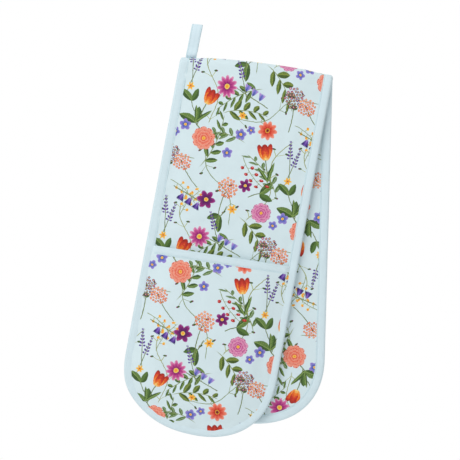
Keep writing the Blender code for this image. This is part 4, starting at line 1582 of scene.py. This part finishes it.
class GLOVE_OT_loop(bpy.types.Operator):
    """Make the hanging loop's tape"""

    bl_idname = "glove.loop"
    bl_label = "Make Loop"

    def execute(self, context):
        sizes, colours = context.scene.glove_sizes, context.scene.glove_colours
        material = tape_material("loop_cotton", colours.loop, sizes.loop_width / 2)
        points, uv = loop_surface(sizes)[:2]
        loop = swept_tape("hanging_loop_tape", points, uv, material)
        follow_loop(loop)
        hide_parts("loop_tape")
        return {"FINISHED"}


class GLOVE_OT_stitches(bpy.types.Operator):
    """Make the rows of stitches on the tapes and the loop"""

    bl_idname = "glove.stitches"
    bl_label = "Make Stitches"

    def execute(self, context):
        sizes = context.scene.glove_sizes
        thread_material(context.scene.glove_colours)
        for half in halves(sizes):
            lines = seam_lines(half, edge_tape_places(half)[:3], edge_section(sizes).stitched)
            row = stitching(half.name + "_edge_stitches", lines, sizes, 11 + half.side)
            follow_fold(row)
            places = mouth_tape_places(half)[:3]
            middle = len(places[0]) // 2
            for hand, part in ((-1, slice(0, middle + 1)), (1, slice(middle, None))):
                lines = seam_lines(half, [place[part] for place in places], mouth_section(sizes).stitched)
                name = half.name + "_mouth_stitches_" + hand_name(hand)
                row = stitching(name, lines, sizes, 21 + half.side)
                follow_pocket(row, half)
        points, uv, out, path = loop_surface(sizes)
        free = path[:, 1] > LOOP_STITCH_START
        back_row = points.shape[1] - 1 - LOOP_STITCH_ROW
        rows = ((LOOP_STITCH_ROW, 1), (back_row, -1))
        lines = [(points[free, row], face * out[free]) for row, face in rows]
        row = stitching("hanging_loop_stitches", lines, sizes, 31)
        follow_loop(row)
        return {"FINISHED"}


WHITE = (1.0, 1.0, 1.0)
WORLD_STRENGTH = 0.58
FLOOR_HEIGHT = -0.75
FLOOR_REACH = 1.5
AIM = (0.038, 0.0, -0.241)  # the glove's middle, at which the camera and the lamps point
CAMERA_DISTANCE = 1.8
FRAME_WIDTH = 0.541  # what the camera takes in at the glove


def seen_directly(tree):
    """1 for what the camera, a reflection or a clear material sees, and 0 for light on the object."""
    rays = tree.nodes.new("ShaderNodeLightPath").outputs
    seen = Value(tree, rays["Is Camera Ray"]).most(Value(tree, rays["Is Glossy Ray"]))
    return seen.most(Value(tree, rays["Is Transmission Ray"]))


def show(tree, share, lit, seen, output):
    """Shows one shader by a share over another."""
    both = add_node(tree, "ShaderNodeMixShader", {"Fac": share, 1: lit, 2: seen})
    give(tree, tree.nodes[output].inputs["Surface"], both.outputs["Shader"])


def studio_world():
    """Even white light, and a plain white background for the camera."""
    world = bpy.data.worlds.new("studio")
    world.use_nodes = True
    tree = world.node_tree
    light = give_all(tree, tree.nodes["Background"], {"Color": WHITE, "Strength": WORLD_STRENGTH})
    seen = add_node(tree, "ShaderNodeBackground", {"Color": WHITE, "Strength": 1.0})
    backgrounds = light.outputs["Background"], seen.outputs["Background"]
    show(tree, seen_directly(tree), *backgrounds, "World Output")
    return world


def studio_floor():
    """A pale floor well under the hanging glove, which keeps its soft shadow."""
    shape = bmesh.new()
    bmesh.ops.create_circle(shape, cap_ends=True, segments=96, radius=FLOOR_REACH)
    for vertex in shape.verts:
        vertex.co.z = FLOOR_HEIGHT
    mesh = bpy.data.meshes.new("studio_floor")
    shape.to_mesh(mesh)
    shape.free()
    floor = Finish("studio_floor", {"Roughness": 0.9}, on_cloth=False)
    tree = floor.tree
    floor.painted(mixed(tree, floor.noise(3.0, 3.0).rise(0.3, 0.7), (0.90, 0.90, 0.90), (0.88, 0.88, 0.88)))
    glow = add_node(tree, "ShaderNodeEmission", {"Strength": 1.0})
    across, along = in_parts(tree, floor.place)[:2]
    edge = far(across, along).rise(0.35 * FLOOR_REACH, 0.95 * FLOOR_REACH)
    seen = seen_directly(tree) * edge.plus(0.4, 0.6)
    show(tree, seen, floor.shader.outputs["BSDF"], glow.outputs["Emission"], "Material Output")
    return add_object(mesh, floor.material)


def lamp(name, energy, size, place):
    """A soft square lamp that faces the glove."""
    light = bpy.data.lights.new(name, "AREA")
    light.energy = energy
    light.size = size
    thing = linked(name, light)
    thing.location = place
    thing.rotation_euler = (Vector(AIM) - Vector(place)).to_track_quat("-Z", "Y").to_euler()


class GLOVE_OT_stage(bpy.types.Operator):
    """Set the floor, the lights and the camera"""

    bl_idname = "glove.stage"
    bl_label = "Set Stage"

    def execute(self, context):
        scene = context.scene
        scene.view_settings.view_transform = "Standard"
        scene.world = studio_world()
        studio_floor()
        lamp("key", 25.0, 1.2, (-0.8, -1.4, 1.1))
        lamp("fill", 20.0, 1.4, (0.9, 1.5, 0.6))
        camera = bpy.data.cameras.new("camera")
        camera.lens = camera.sensor_width * CAMERA_DISTANCE / FRAME_WIDTH
        eye = linked("camera", camera)
        eye.location = (AIM[0], -CAMERA_DISTANCE, AIM[2])
        eye.rotation_euler = (math.radians(90), 0, 0)
        scene.camera = eye
        return {"FINISHED"}


STEPS = (GLOVE_OT_strip, GLOVE_OT_pockets, GLOVE_OT_edge_tapes, GLOVE_OT_loop, GLOVE_OT_stitches,
         GLOVE_OT_stage)


class GLOVE_PT_panel(bpy.types.Panel):
    """Lists the steps that make the glove"""

    bl_idname = "GLOVE_PT_panel"
    bl_label = "Double Oven Glove"
    bl_space_type = "VIEW_3D"
    bl_region_type = "UI"
    bl_category = "Glove"

    def draw(self, context):
        for step in STEPS:
            self.layout.operator(step.bl_idname)
        for group in (context.scene.glove_sizes, context.scene.glove_colours, context.scene.print_inks):
            box = self.layout.box()
            for name in group.__annotations__:
                box.prop(group, name)


CLASSES = (GloveSizes, GloveColours, PrintInks, *STEPS, GLOVE_PT_panel)


def register():
    for kind in CLASSES:
        bpy.utils.register_class(kind)
    bpy.types.Scene.glove_sizes = bpy.props.PointerProperty(type=GloveSizes)
    bpy.types.Scene.glove_colours = bpy.props.PointerProperty(type=GloveColours)
    bpy.types.Scene.print_inks = bpy.props.PointerProperty(type=PrintInks)


def unregister():
    del bpy.types.Scene.print_inks
    del bpy.types.Scene.glove_colours
    del bpy.types.Scene.glove_sizes
    for kind in reversed(CLASSES):
        bpy.utils.unregister_class(kind)


def main():
    register()
    bpy.ops.glove.strip()
    bpy.ops.glove.pockets()
    bpy.ops.glove.edge_tapes()
    bpy.ops.glove.loop()
    bpy.ops.glove.stitches()
    bpy.ops.glove.stage()


if __name__ == "__main__":
    main()
